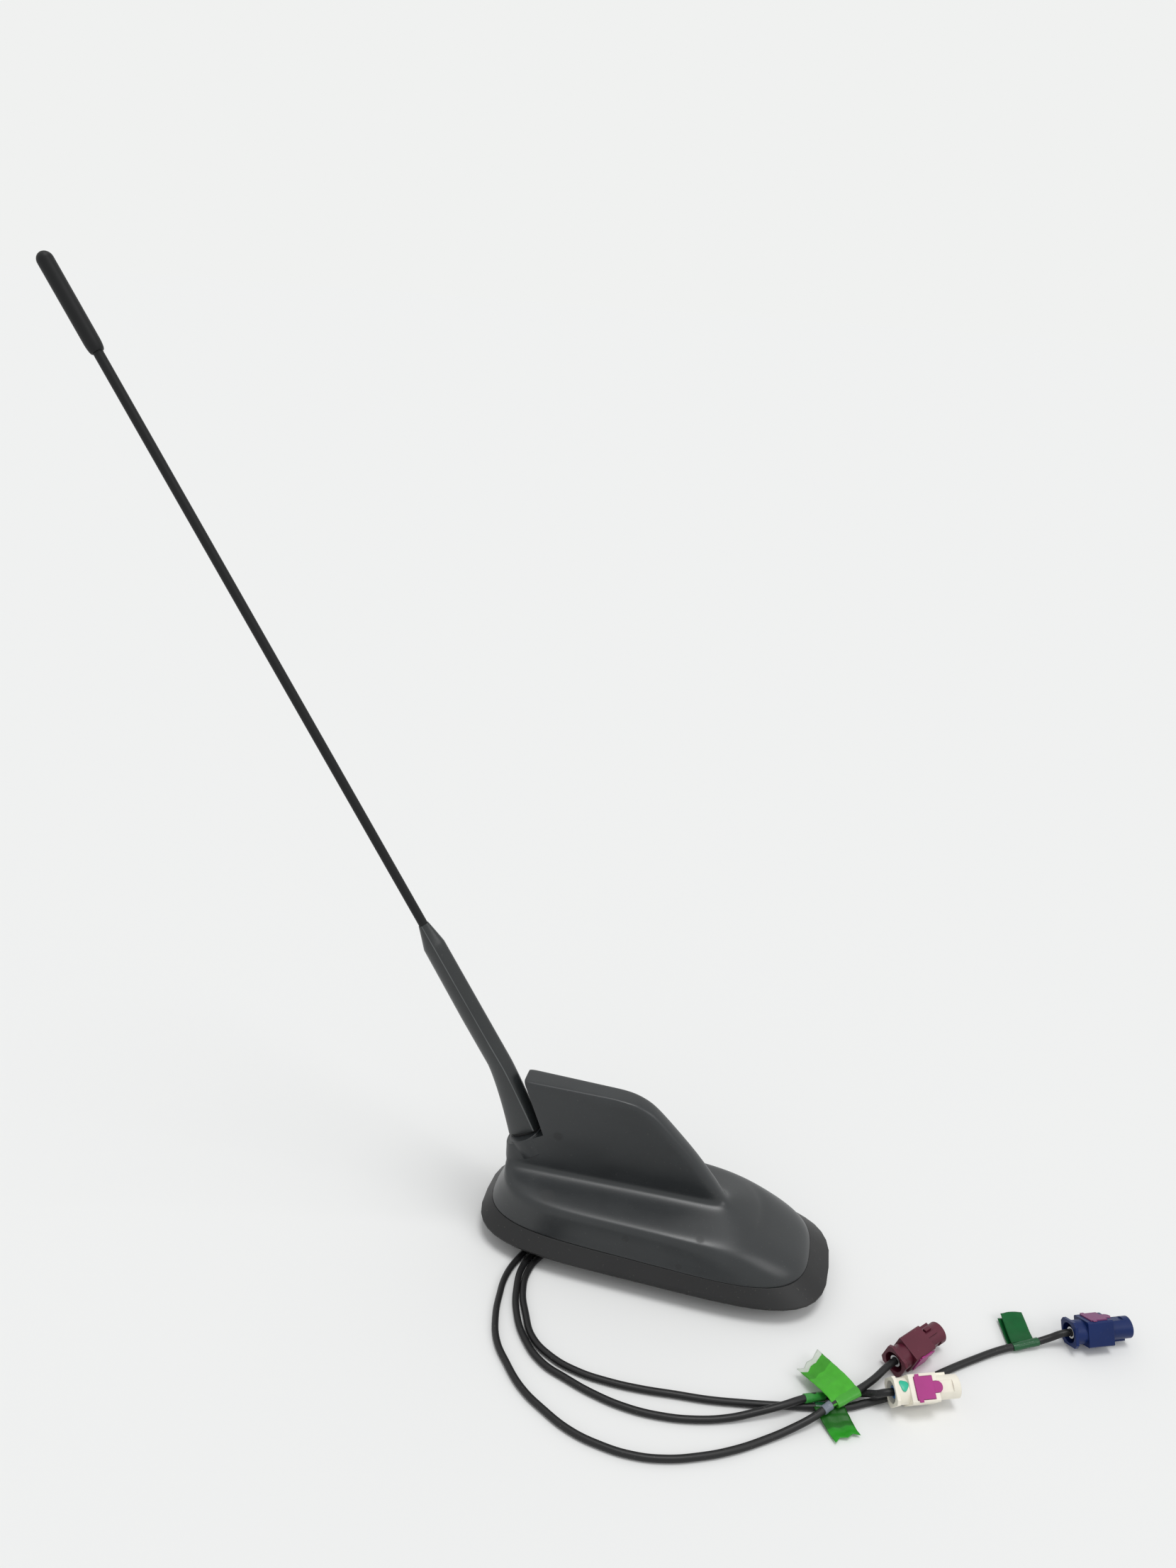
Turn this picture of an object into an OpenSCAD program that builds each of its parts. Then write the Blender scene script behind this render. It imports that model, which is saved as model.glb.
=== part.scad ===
// Roof antenna of a car: a fin housing on a flared gasket, a raked whip and three coaxial leads.
// Millimetres. +X is the front of the car, +Z is up, and the fixing boss stands on z = 0.
// The origin is on the axis of the bolt hole, at the end face of the boss.

/* [Housing] */
// Height of the split line between housing and gasket
split_z = 14.8; // [13:0.1:20]
// Length of the housing at the split line
cover_l = 142.3; // [118:0.1:172]
// Width of the housing at the split line
cover_w = 56.2; // [50:0.1:68]
// Middle of the housing along X
cover_mid = -2.4; // [-6:0.1:4]
// Wall of the housing
cover_wall = 2.2; // [1.8:0.1:2.7]
// Height of the shoulder above the split line
shoulder_h = 14.5; // [12:0.1:18]
// Rise of the roof from the shoulder to the root of the fin
roof_rise = 4.7; // [3:0.1:7]
// Height of the fin above its root
fin_h = 43.8; // [38:0.1:53]
// Mean thickness of the fin at its root
fin_t = 13; // [11:0.1:15.6]
// Distance from the mast seat forward to the front of the fin's root
fin_reach = 91.3; // [80:0.1:100]
// How far the fin's ridge falls back from its root to its top
ridge_back = 58.5; // [49:0.1:62]

/* [Gasket and base] */
// Height of the gasket's sealing face
gasket_z = 8; // [7:0.1:9]
// How much longer the gasket's foot is than the housing
flare_l = 13.2; // [9:0.1:20]
// How much wider the gasket's foot is than the housing
flare_w = 8.9; // [6:0.1:14]
// Height of the underside of the base plate
plate_z = 10.5; // [10:0.1:12]
// How far the base plate's ends lie inside the housing's
plate_inset_l = 4.15; // [3.8:0.05:6]
// How far the base plate's sides lie inside the housing's
plate_inset_w = 4.1; // [3.8:0.05:6]
// Diameter of the fixing boss
boss_d = 26; // [24:0.1:32]
// Bore of the thread for the roof bolt
bolt_d = 6.8; // [5.6:0.1:8.2]
// Depth of the thread for the roof bolt
bolt_depth = 14; // [11:0.1:14.4]
// Width of the cable channel in the boss
channel_w = 12; // [11:0.1:14]
// Thickness of the circuit board
board_t = 1.6; // [1:0.1:2]
// Width of the circuit board
board_w = 34; // [30:0.1:36]
// Height of the circuit board's underside
board_z = 18; // [17.5:0.1:19]

/* [Mast] */
// Rake of the mast from the vertical
rake = 30.8; // [28:0.1:34]
// Distance from the rear end of the split line forward to the mast seat
seat_setback = 12.75; // [12:0.05:14]
// Height of the mast seat
seat_z = 46.9; // [45:0.1:50]
// Diameter of the collar round the seat
collar_d = 15.6; // [14:0.1:17]
// Thickness of the seal under the mast's foot
seal_t = 1; // [0.6:0.1:1.6]
// Length of the whip from its foot to its tip
whip_l = 396; // [330:1:475]
// Length of the moulded sleeve
sleeve_l = 106; // [100:1:127]
// Half width of the sleeve
sleeve_half_w = 4.5; // [4.2:0.1:5.4]
// Diameter of the rod
rod_d = 3.9; // [3.2:0.1:4.4]
// Length of the cap at the tip
cap_l = 38; // [32:0.5:46]
// Diameter of the cap at the tip
cap_d = 6.3; // [5.6:0.1:7.5]
// Diameter of the mast's threaded stud
stud_d = 5; // [4:0.1:5.4]

/* [Leads and connectors] */
// Diameter of the coaxial leads
lead_d = 2.8; // [2.6:0.1:2.9]
// Length of a connector
plug_l = 27; // [25:0.1:32]
// Width across a connector's flange and body
plug_w = 10.2; // [10:0.1:10.4]
// Diameter of a connector's barrel
barrel_d = 8.6; // [8.2:0.1:9.6]
// Diameter of a connector's outer contact
contact_d = 5.2; // [4.8:0.1:5.6]
// Thickness of the tape round the leads
tape_t = 0.25; // [0.15:0.05:0.3]

/* [Hidden] */
$fn = 48;
fit = 0.05;
slack = 0.1;
lead_names = ["phone", "radio", "satnav"];
lead_parts = ["cable", "connector", "lock", "ferrule", "outer_contact", "insulator", "pin"];

function mix(a, b, t) = a + (b - a) * t;
function unit(v) = v / norm(v);

// A closed oval: blunt ends where p is large, and wider towards the front where taper is positive.
function oval(mid, half, half_w, p, q, taper, n = 56) = [
    for (i = [0:n - 1])
        let (c = cos(360 * i / n), s = sign(sin(360 * i / n)))
        [mid + half * c, s * half_w * pow(1 - pow(abs(c), p), 1 / q) * (1 + taper * c)]
];
function at_height(outline, z) = [for (v = outline) [v.x, v.y, z]];
function ring(rear, front, half_w, z, p, q, taper, n = 56) =
    at_height(oval((rear + front) / 2, (front - rear) / 2, half_w, p, q, taper, n), z);

// A solid through rings of equal point counts.
module loft(rings) {
    n = len(rings[0]);
    last = len(rings) - 1;
    sides = [
        for (j = [0:last - 1], i = [0:n - 1])
            let (a = j * n + i, b = j * n + (i + 1) % n)
            [a, a + n, b + n, b]
    ];
    ends = [[for (i = [0:n - 1]) i], [for (i = [n - 1:-1:0]) last * n + i]];
    polyhedron([for (r = rings) each r], concat(sides, ends), convexity = 8);
}

// A cylinder's frame from one point towards another.
module along(a, b) {
    d = b - a;
    translate(a)
        rotate([0, acos(d.z / norm(d)), atan2(d.y, d.x)])
            children();
}

// Housing: the domed body rises from the split line to the shoulder, the roof slopes up to the
// fin's root, and the fin stands on it. Each row is one level of the outer skin.
split_rear = cover_mid - cover_l / 2;
split_front = cover_mid + cover_l / 2;
shoulder_z = split_z + shoulder_h;
root_z = shoulder_z + roof_rise;
seat_x = split_rear + seat_setback;
fin_front = seat_x + fin_reach;
// The bluntness of an outline's ends, and how much wider it is at the front
body_ends = [4.6, 2.75];
body_taper = 0.07;
fin_ends = [14, 2.5];

// Share of the shoulder's height, then how far the rear, front and sides have come in
body_rows = [
    [0, 0, 0, 0], [0.12, 0.7, 0.5, 0.25], [0.29, 1.7, 1.5, 0.7], [0.48, 2.8, 3.6, 1.05],
    [0.65, 3.8, 7, 1.4], [0.8, 4.5, 11.2, 1.75], [0.92, 4.9, 15.6, 2.3], [1, 5, 19.7, 3.3]
];
// Share of the way from the shoulder in to the root, and of the roof's rise
roof_rows = [[0.1, 0.14], [0.24, 0.26], [0.5, 0.45], [0.74, 0.6], [0.9, 0.75]];
// Share of the fin's height, the ridge's fall back, the thickness, and the taper to the front
fin_rows = [
    [0, 0, 1, -0.3], [0.05, 0.03, 0.96, -0.3], [0.137, 0.077, 0.925, -0.3],
    [0.274, 0.159, 0.86, -0.29], [0.434, 0.262, 0.78, -0.27], [0.594, 0.379, 0.69, -0.24],
    [0.731, 0.48, 0.615, -0.22], [0.836, 0.558, 0.56, -0.2], [0.9, 0.622, 0.52, -0.2],
    [0.95, 0.695, 0.48, -0.2], [0.975, 0.77, 0.42, -0.18], [0.99, 0.85, 0.33, -0.15],
    [1, 1, 0.2, -0.1]
];
// The fin's rear face leans back less than the mast does
fin_rear_lean = 22.6;
notch_l = 10.5;
notch_drop = 0.9;
notch_x = seat_x + notch_l * cos(rake) + notch_drop * sin(rake);
notch_z = seat_z + notch_l * sin(rake) - notch_drop * cos(rake);
function fin_rear(z) = notch_x - (z - notch_z) * tan(fin_rear_lean);
function fin_z(row) = root_z + fin_h * row[0];
function fin_front_at(row) = fin_front - ridge_back * row[1];
// The skin runs past the rear face, which is cut plane, and is rounded in at the very top
function fin_rear_at(row) =
    row[0] < 0.3 ? seat_x - collar_d / 2 : fin_rear(fin_z(row)) - min(4, (0.957 - row[0]) * 80);
shoulder = body_rows[7];
shoulder_front = split_front - shoulder[2];
shoulder_half_w = cover_w / 2 - shoulder[3];

function cover_rings() = concat(
    [for (r = body_rows)
        ring(split_rear + r[1], split_front - r[2], cover_w / 2 - r[3], split_z + shoulder_h * r[0],
             body_ends[0], body_ends[1], body_taper * (1 - r[0]))],
    [for (r = roof_rows)
        ring(split_rear + shoulder[1], mix(shoulder_front, fin_front, r[0]),
             mix(shoulder_half_w, fin_t / 2, r[0]), shoulder_z + roof_rise * r[1],
             mix(body_ends[0], fin_ends[0], r[0] * r[0]), mix(body_ends[1], fin_ends[1], r[0]),
             mix(0, -0.3, r[0]))],
    [for (r = fin_rows)
        ring(fin_rear_at(r), fin_front_at(r), fin_t / 2 * r[2], fin_z(r),
             fin_ends[0], fin_ends[1], r[3])]
);

// Room inside the body: the outer levels one wall in, and one wall down
function cavity_rings() = concat(
    [ring(split_rear + cover_wall, split_front - cover_wall, cover_w / 2 - cover_wall, split_z - 1,
          body_ends[0], body_ends[1], body_taper, 40)],
    [for (i = [2:7])
        let (r = body_rows[i])
        ring(split_rear + r[1] + cover_wall, split_front - r[2] - cover_wall,
             cover_w / 2 - r[3] - cover_wall, split_z + shoulder_h * r[0] - cover_wall,
             body_ends[0], body_ends[1], body_taper * (1 - r[0]), 40)]
);

// Room inside the fin
fin_levels = [for (r = fin_rows) [fin_z(r), fin_front_at(r)]];
fin_halves = [for (r = fin_rows) [fin_z(r), fin_t / 2 * r[2]]];
slot_shares = [0, 0.25, 0.5, 0.7, 0.82];
// Below the mast seat the room reaches back to the nut's pocket
slot_back = 5;
function slot_ring(z, back = 0) =
    ring(min(fin_rear(z), notch_x) + 1.2 * cover_wall - back, lookup(z, fin_levels) - 1.8 * cover_wall,
         lookup(z, fin_halves) - cover_wall, z, 8, 2.5, -0.25, 32);
function slot_rings() = concat(
    [slot_ring(shoulder_z - cover_wall - 2, slot_back)],
    [for (s = slot_shares) slot_ring(root_z + fin_h * s, s == 0 ? slot_back : 0)]
);

// Everything on the mast is placed in the seat's own frame: origin at the collar's top, raked
module in_seat() {
    translate([seat_x, 0, seat_z])
        rotate([0, -rake, 0])
            children();
}

bush_l = 9;
bush_d = stud_d + 3.6;
nut_af = 8;
nut_h = 4;
nut_pocket_d = nut_af / cos(30) + 1.2;
boss_screw_d = 3;
screw_boss_d = 7.2;
screw_y = 13.5;
front_screw_x = split_front - 20.7;
rear_screw_x = split_rear + 21.5;
screw_places = [for (x = [rear_screw_x, front_screw_x], y = [-screw_y, screw_y]) [x, y]];
screw_boss_top = [shoulder_z - cover_wall, shoulder_z - cover_wall - 1.8];

module notch() {
    high = 90;
    rise = tan(rake - fin_rear_lean);
    in_seat()
        rotate([90, 0, 0])
            linear_extrude(60, center = true)
                polygon([
                    [-60, -notch_drop], [notch_l, -notch_drop],
                    [notch_l + high * rise, high - notch_drop], [-60, high - notch_drop]
                ]);
}

module cover() {
    color([0.22, 0.22, 0.24])
    difference() {
        union() {
            difference() {
                loft(cover_rings());
                notch();
                loft(cavity_rings());
                loft(slot_rings());
            }
            in_seat()
                translate([0, 0, -bush_l])
                    cylinder(d = collar_d, h = bush_l);
            for (i = [0, 1], y = [-screw_y, screw_y])
                translate([[rear_screw_x, front_screw_x][i], y, split_z])
                    cylinder(d = screw_boss_d, h = screw_boss_top[i] - split_z);
        }
        in_seat()
            translate([0, 0, -bush_l - 1])
                cylinder(d = bush_d, h = bush_l + 2);
        in_seat()
            translate([0, 0, -bush_l - 14])
                cylinder(d = nut_pocket_d, h = 14);
        for (p = screw_places)
            translate([p.x, p.y, split_z - 1])
                cylinder(d = boss_screw_d + slack, h = 9);
    }
}

// Gasket: a skirt that flares out from the split line, a sealing face, and a pocket for the plate
skirt_lip = 0.8;
foot_ends = [4.5, 2.96];
foot_taper = 0.02;
plate_taper = 0.05;
screw_window_d = 8;
gasket_l = cover_l + flare_l;
gasket_w = cover_w + flare_w;
plate_l = cover_l - 2 * plate_inset_l;
plate_w = cover_w - 2 * plate_inset_w;
module plate_outline(clear = 0) {
    polygon(oval(cover_mid, plate_l / 2 + clear, plate_w / 2 + clear,
                 body_ends[0], body_ends[1], plate_taper, 48));
}

function skirt_ring(t, z) =
    at_height(oval(mix(0, cover_mid, t), mix(gasket_l, cover_l, t) / 2, mix(gasket_w, cover_w, t) / 2,
                   mix(foot_ends[0], body_ends[0], t), mix(foot_ends[1], body_ends[1], t),
                   mix(foot_taper, body_taper, t)), z);

module base_gasket() {
    skirt_h = split_z - gasket_z - skirt_lip;
    color([0.15, 0.15, 0.16])
    difference() {
        loft(concat(
            [skirt_ring(0, gasket_z)],
            [for (a = [0:15:90]) skirt_ring(1 - cos(a), gasket_z + skirt_lip + skirt_h * sin(a))]
        ));
        translate([0, 0, plate_z])
            linear_extrude(split_z)
                plate_outline(fit);
        translate([0, 0, gasket_z - 1])
            cylinder(r = norm([channel_rear, channel_w / 2]) + slack, h = split_z);
        for (p = screw_places)
            translate([p.x, p.y, gasket_z - 1])
                cylinder(d = screw_window_d, h = split_z);
    }
}

// Base plate: a casting with the fixing boss, a rim for the cover seal and posts for the board
rim_inset = 1.5;
rim_w = 1.6;
rim_h = 2.2;
post_d = 5.2;
board_screw_d = 2.1;
boss_x_gap = 1.4;
board_rear = rear_screw_x + screw_boss_d / 2 + boss_x_gap;
board_front = front_screw_x - screw_boss_d / 2 - boss_x_gap;
post_inset = 4;
post_y = board_w / 2 - 4;
post_places = [for (x = [board_rear + post_inset, board_front - post_inset], y = [-post_y, post_y]) [x, y]];
channel_rear = boss_d / 2 + 0.3;
channel_front = bolt_d / 2 + 2.6;
channel_floor = 1;
hub_d = 2 * channel_front - 1;
screw_head_d = 6;
screw_head_h = 2.2;
screw_grip = 7.5;

module rim_outline(clear) {
    plate_outline(clear - rim_inset);
}

module base_plate() {
    color([0.62, 0.63, 0.65])
    difference() {
        union() {
            translate([0, 0, plate_z])
                linear_extrude(split_z - plate_z)
                    plate_outline();
            translate([0, 0, split_z])
                linear_extrude(rim_h)
                    difference() {
                        rim_outline(0);
                        rim_outline(-rim_w);
                    }
            cylinder(d = boss_d, h = split_z);
            cylinder(d = hub_d, h = split_z + 2);
            for (p = post_places)
                translate([p.x, p.y, split_z])
                    cylinder(d = post_d, h = board_z - split_z);
        }
        translate([0, 0, -1])
            cylinder(d = bolt_d, h = bolt_depth + 1);
        translate([-channel_rear - 1, -channel_w / 2, channel_floor])
            cube([channel_rear + 1 - channel_front, channel_w, plate_z - channel_floor]);
        translate([-boss_d / 2 + 1, -channel_w / 2, plate_z - 1])
            cube([boss_d / 2 - 1 - channel_front, channel_w, split_z]);
        for (p = screw_places)
            translate([p.x, p.y, plate_z - 1]) {
                cylinder(d = boss_screw_d + 0.3, h = 9);
                cylinder(d = screw_head_d + 0.4, h = screw_head_h + 1.1);
            }
        for (p = post_places)
            translate([p.x, p.y, board_z - 6])
                cylinder(d = board_screw_d + slack, h = 9);
    }
}

// Grommet: fills the channel in the boss, and the leads come out of its rear face
module cable_grommet() {
    w = channel_w - 2 * fit;
    color([0.1, 0.1, 0.1]) {
        translate([-channel_rear, -w / 2, channel_floor + fit])
            cube([channel_rear - channel_front - fit, w, plate_z - channel_floor - 2 * fit]);
        translate([-boss_d / 2 + 1 + fit, -w / 2, plate_z - 1])
            cube([boss_d / 2 - 1 - channel_front - 2 * fit, w, split_z - plate_z + 2]);
    }
}

// Cord seal on the plate, round the rim, inside the lower edge of the housing
seal_w = 1.5;
module cover_seal() {
    color([0.12, 0.12, 0.12])
    translate([0, 0, split_z])
        linear_extrude(1.8)
            difference() {
                rim_outline(slack + seal_w);
                rim_outline(slack);
            }
}

module cover_screws() {
    color([0.7, 0.7, 0.72])
    for (p = screw_places)
        translate([p.x, p.y, plate_z + slack])
            difference() {
                union() {
                    cylinder(d = screw_head_d, h = screw_head_h);
                    cylinder(d = boss_screw_d, h = split_z - plate_z + screw_grip);
                }
                translate([0, 0, -1])
                    cylinder(d = 3, h = 2.3, $fn = 6);
            }
}

module board_screws() {
    color([0.75, 0.75, 0.78])
    for (p = post_places)
        translate([p.x, p.y, board_z + board_t])
            difference() {
                union() {
                    cylinder(d = 4.4, h = 1.5);
                    translate([0, 0, -board_t - 5])
                        cylinder(d = board_screw_d, h = board_t + 6);
                }
                translate([0, 0, 0.7])
                    cylinder(d = 2, h = 2, $fn = 6);
            }
}

module circuit_board() {
    color([0.1, 0.35, 0.2])
    difference() {
        translate([board_rear, -board_w / 2, board_z])
            cube([board_front - board_rear, board_w, board_t]);
        for (p = post_places)
            translate([p.x, p.y, board_z - 1])
                cylinder(d = board_screw_d + 0.4, h = board_t + 2);
    }
}

// Parts on the board, each set out from the board's front edge
board_top = board_z + board_t;
patch_w = 25;
patch_h = 4;
patch_mid = board_front - 19;
can_l = 36;
can_w = 26;
can_h = 5;
can_front = patch_mid - patch_w / 2 - 3.5;
sheet_t = 0.4;

module shield_can() {
    color([0.75, 0.76, 0.78])
    translate([can_front - can_l, -can_w / 2, board_top])
        difference() {
            cube([can_l, can_w, can_h]);
            translate([sheet_t, sheet_t, -1])
                cube([can_l - 2 * sheet_t, can_w - 2 * sheet_t, can_h - sheet_t + 1]);
        }
}

module satnav_patch() {
    color([0.8, 0.75, 0.65])
    translate([patch_mid, 0, board_top]) {
        translate([-patch_w / 2, -patch_w / 2, 0])
            cube([patch_w, patch_w, patch_h]);
        translate([1.5, 0, patch_h])
            cylinder(d = 2, h = 0.6);
    }
}

// Upright element in the fin, with a tab down to the board behind the shield can
element_t = 0.8;
element_tab_l = 4;
module phone_element() {
    low = board_top + can_h + 3.4;
    high = root_z + fin_h * 0.78;
    rear = notch_x + 1.2 * cover_wall + 5.5;
    lean = tan(fin_rear_lean);
    front_low = fin_front - ridge_back * 0.159 - 16;
    front_high = fin_front - ridge_back * 0.53 - 9;
    tab_rear = can_front - can_l - element_tab_l - 2;
    color([0.75, 0.6, 0.35])
    translate([0, element_t / 2, 0])
        rotate([90, 0, 0])
            linear_extrude(element_t)
                polygon([
                    [tab_rear, board_top], [tab_rear + element_tab_l, board_top],
                    [tab_rear + element_tab_l, low], [front_low, low],
                    [front_low, root_z + 8], [front_high, high],
                    [rear - (high - notch_z) * lean, high], [rear, notch_z],
                    [rear, low], [tab_rear, low]
                ]);
}

module seat_bush() {
    color([0.8, 0.65, 0.3])
    in_seat()
        translate([0, 0, -bush_l])
            difference() {
                cylinder(d = bush_d - 2 * fit, h = bush_l);
                translate([0, 0, -1])
                    cylinder(d = stud_d + 2 * fit, h = bush_l + 2);
            }
}

// Insert moulded into the sleeve: a stud square to the seat, a neck that leans forward to the
// mast's own axis, and a socket for the rod
rod_offset = 6.28;
stud_below = bush_l + nut_h + 2;
neck_low = 7;
socket_low = 30;
socket_l = 17;
socket_d = rod_d + 2.7;
knuckle_more = 1;
module insert_neck(more = 0) {
    translate([0, 0, neck_low])
        sphere(d = stud_d + knuckle_more + more);
    along([0, 0, neck_low], [rod_offset, 0, socket_low + 1])
        cylinder(d = stud_d + more, h = norm([rod_offset, socket_low + 1 - neck_low]));
    translate([rod_offset, 0, socket_low])
        cylinder(d = socket_d + more, h = socket_l + more / 2);
}

module mast_insert() {
    color([0.7, 0.7, 0.68])
    in_seat()
        difference() {
            union() {
                translate([0, 0, -stud_below])
                    cylinder(d = stud_d, h = stud_below + neck_low);
                insert_neck();
            }
            translate([rod_offset, 0, socket_low + 3])
                cylinder(d = rod_d + 2 * fit, h = socket_l);
        }
}

module mast_nut() {
    color([0.75, 0.75, 0.75])
    in_seat()
        translate([0, 0, -bush_l - nut_h])
            difference() {
                cylinder(d = nut_af / cos(30), h = nut_h, $fn = 6);
                translate([0, 0, -1])
                    cylinder(d = stud_d + 2 * fit, h = nut_h + 2);
            }
}

// Contact strip: a pad under the stud's end, a leg down to the board, and a foot soldered to it
strip_w = 4;
module contact_spring() {
    leg_x = board_rear + 1.6;
    drop = stud_below + sheet_t;
    pad_l = (leg_x - seat_x - drop * sin(rake)) / cos(rake);
    leg_top = seat_z + pad_l * sin(rake) - drop * cos(rake);
    color([0.85, 0.7, 0.35]) {
        in_seat()
            translate([-stud_d / 2, -strip_w / 2, -stud_below - sheet_t])
                cube([pad_l + stud_d / 2, strip_w, sheet_t]);
        translate([leg_x - sheet_t, -strip_w / 2, board_top])
            cube([sheet_t, strip_w, leg_top - board_top + 0.25]);
        translate([leg_x - sheet_t, -strip_w / 2, board_top])
            cube([2.6, strip_w, sheet_t]);
    }
}

// Sleeve: round at the rear, with a shallow front face between two crests, and leaning back
// in one sweep from the rod's axis to the longer foot
rear_depth = 5.2;
foot_lean = 8.1;
foot_lean_h = 38;
crest_forward = 3.2;
crest_in = 2.9;
crest_h = 70;
front_bulge = 1.2;
top_taper_h = 10.5;
top_half_w = 2.25;
rear_steps = 16;
front_steps = 6;
function eased(s, h, power) = pow(max(0, 1 - s / h), power);
function sleeve_taper(s) = max(0, (s - sleeve_l + top_taper_h) / top_taper_h);
function sleeve_section(s) =
    let (t = sleeve_taper(s))
    let (depth = mix(rear_depth - max(0, s - 60) * 0.02, top_half_w, t))
    let (ahead = mix(crest_forward, 0.4, t) - crest_in * eased(s, crest_h, 1.6))
    let (rear = depth + foot_lean * eased(s, foot_lean_h, 1.3) + ahead)
    let (half_w = mix(sleeve_half_w, top_half_w, t))
    let (crest_w = half_w * mix(0.74, 0.9, min(1, s / 25)), crest_a = asin(crest_w / half_w))
    let (rear_r = rear / (1 + cos(crest_a)), middle = rod_offset + ahead - rear_r * cos(crest_a))
    let (bulge = mix(front_bulge, top_half_w - 0.4, t))
    concat(
        [for (i = [0:rear_steps])
            let (a = crest_a + (360 - 2 * crest_a) * i / rear_steps)
            [middle + rear_r * cos(a), half_w * sin(a)]],
        [for (i = [1:front_steps - 1])
            let (y = -1 + 2 * i / front_steps)
            [rod_offset + ahead + bulge * (1 - y * y), crest_w * y]]
    );
sleeve_levels = concat(
    [0, 5, 11, 17, 23, 29, 35, 42, 50, 60, 78, sleeve_l - top_taper_h - 2],
    [for (t = [0, 0.12, 0.35, 0.7, 1]) sleeve_l - top_taper_h * (1 - t)]
);

module mast_sleeve() {
    color([0.24, 0.24, 0.26])
    in_seat()
        difference() {
            translate([0, 0, seal_t])
                loft([for (s = sleeve_levels) at_height(sleeve_section(s), s)]);
            cylinder(d = stud_d + 2 * fit, h = neck_low);
            insert_neck(2 * fit);
            translate([rod_offset, 0, socket_low + socket_l - 1])
                cylinder(d = rod_d + 2 * fit, h = sleeve_l);
        }
}

module foot_seal() {
    color([0.1, 0.1, 0.1])
    in_seat()
        difference() {
            linear_extrude(seal_t)
                polygon(sleeve_section(0));
            translate([0, 0, -1])
                cylinder(d = stud_d + 2 * fit, h = seal_t + 2);
        }
}

rod_low = socket_low + 3;
cap_low = seal_t + whip_l - cap_l;
cap_bore = 20;
module mast_rod() {
    color([0.1, 0.1, 0.1])
    in_seat()
        translate([rod_offset, 0, rod_low])
            cylinder(d = rod_d, h = cap_low + cap_bore - rod_low);
}

module mast_tip_cap() {
    r = cap_d / 2;
    mouth_r = rod_d / 2 + 0.35;
    mouth_h = 4.5;
    color([0.1, 0.1, 0.1])
    in_seat()
        translate([rod_offset, 0, cap_low])
            rotate_extrude()
                polygon(concat(
                    [[0, cap_bore], [rod_d / 2 + fit, cap_bore], [rod_d / 2 + fit, 0]],
                    [for (a = [0:18:90]) [mix(mouth_r, r, sin(a)), mouth_h * (1 - cos(a))]],
                    [for (a = [0:10:80]) [r * cos(a), cap_l - r + r * sin(a)]],
                    [[0, cap_l]]
                ));
}

// Leads: each route runs from the grommet to its connector, lying on z = 0 where nothing lifts it
exit_z = 4;
exit_gap = 3.3;
lie = 1.5;
phone_route = [
    [-18, 3.2, 3.6], [-25, 2, 2.4], [-34, -2, lie], [-42, -9, lie], [-49, -18, lie],
    [-53.5, -28, lie], [-56, -39, lie], [-55.5, -50, lie], [-53.5, -61.5, lie], [-49.5, -72, lie],
    [-42.5, -81, lie], [-33.5, -90, lie], [-23, -96.5, lie], [-11, -102, lie], [1, -104.5, lie],
    [13, -105, lie], [25, -103, lie], [37, -98.5, lie], [48.5, -92.5, lie], [60, -84.5, lie],
    [70, -77, 2.5], [77, -71.5, 4.2], [83, -65, 5.2], [93, -55.3, 5.2], [98, -49.8, 5.2]
];
radio_route = [
    [-18, -0.3, 3.6], [-24.5, -2, 2.4], [-33, -6.3, lie], [-40.5, -13.5, lie], [-47, -22, lie],
    [-50.6, -32, lie], [-49.7, -44.5, lie], [-46, -56.5, lie], [-39, -68, lie], [-29.5, -76.5, lie],
    [-18, -81, lie], [-6, -84.5, lie], [7, -86.5, lie], [20, -86.3, lie], [33, -84, lie],
    [45, -80, 1.8], [56, -75, 3.2], [64.5, -70.8, 4.6], [71, -66.2, 4.6], [76, -62.2, 3.4],
    [80.5, -59.3, 1.8], [85, -56.6, lie], [90, -54.4, lie], [94.3, -53.2, lie], [97, -54, 3.4],
    [99.5, -56, 6]
];
satnav_route = [
    [-18, -4, 3.6], [-24, -6, 2.4], [-32, -10.5, lie], [-39, -17, lie], [-44.5, -25, lie],
    [-47.2, -34, lie], [-46.3, -45, lie], [-42.2, -56, lie], [-36, -66.5, lie], [-26.5, -73, lie],
    [-15, -76.5, lie], [-2, -77.5, lie], [11, -77, lie], [24, -75.5, lie], [37, -74, lie],
    [50, -71.5, lie], [63.5, -68.5, lie], [76, -65.3, lie], [88, -62, lie], [96.5, -57.3, lie],
    [106, -51.3, lie], [117, -42, lie], [126, -34, lie], [139, -23.5, lie], [151, -15, 1.8],
    [163, -8.8, 1.8], [169.5, -6, 3.2]
];
lead_routes = [phone_route, radio_route, satnav_route];
exit_y = [exit_gap, 0, -exit_gap];

// Rear end of each connector, its heading, and its roll
plug_places = [[105.9, -39.2, plug_w / 2], [104.6, -55.7, 8.4], [176.8, -3.2, plug_w / 2]];
plug_headings = [49, 22.7, 23.6];
plug_rolls = [90, 0, 0];
plug_colours = [[0.37, 0.14, 0.22], [0.92, 0.9, 0.84], [0.1, 0.24, 0.5]];
function heading(i) = [cos(plug_headings[i]), sin(plug_headings[i]), 0];

module at_plug(i) {
    translate(plug_places[i])
        rotate([0, 0, plug_headings[i]])
            rotate([plug_rolls[i], 0, 0])
                children();
}
// Along a connector, +X runs from its flange to its mating end, and +Z is the lock's side
module along_plug(x) {
    translate([x, 0, 0])
        rotate([0, 90, 0])
            children();
}

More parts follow.
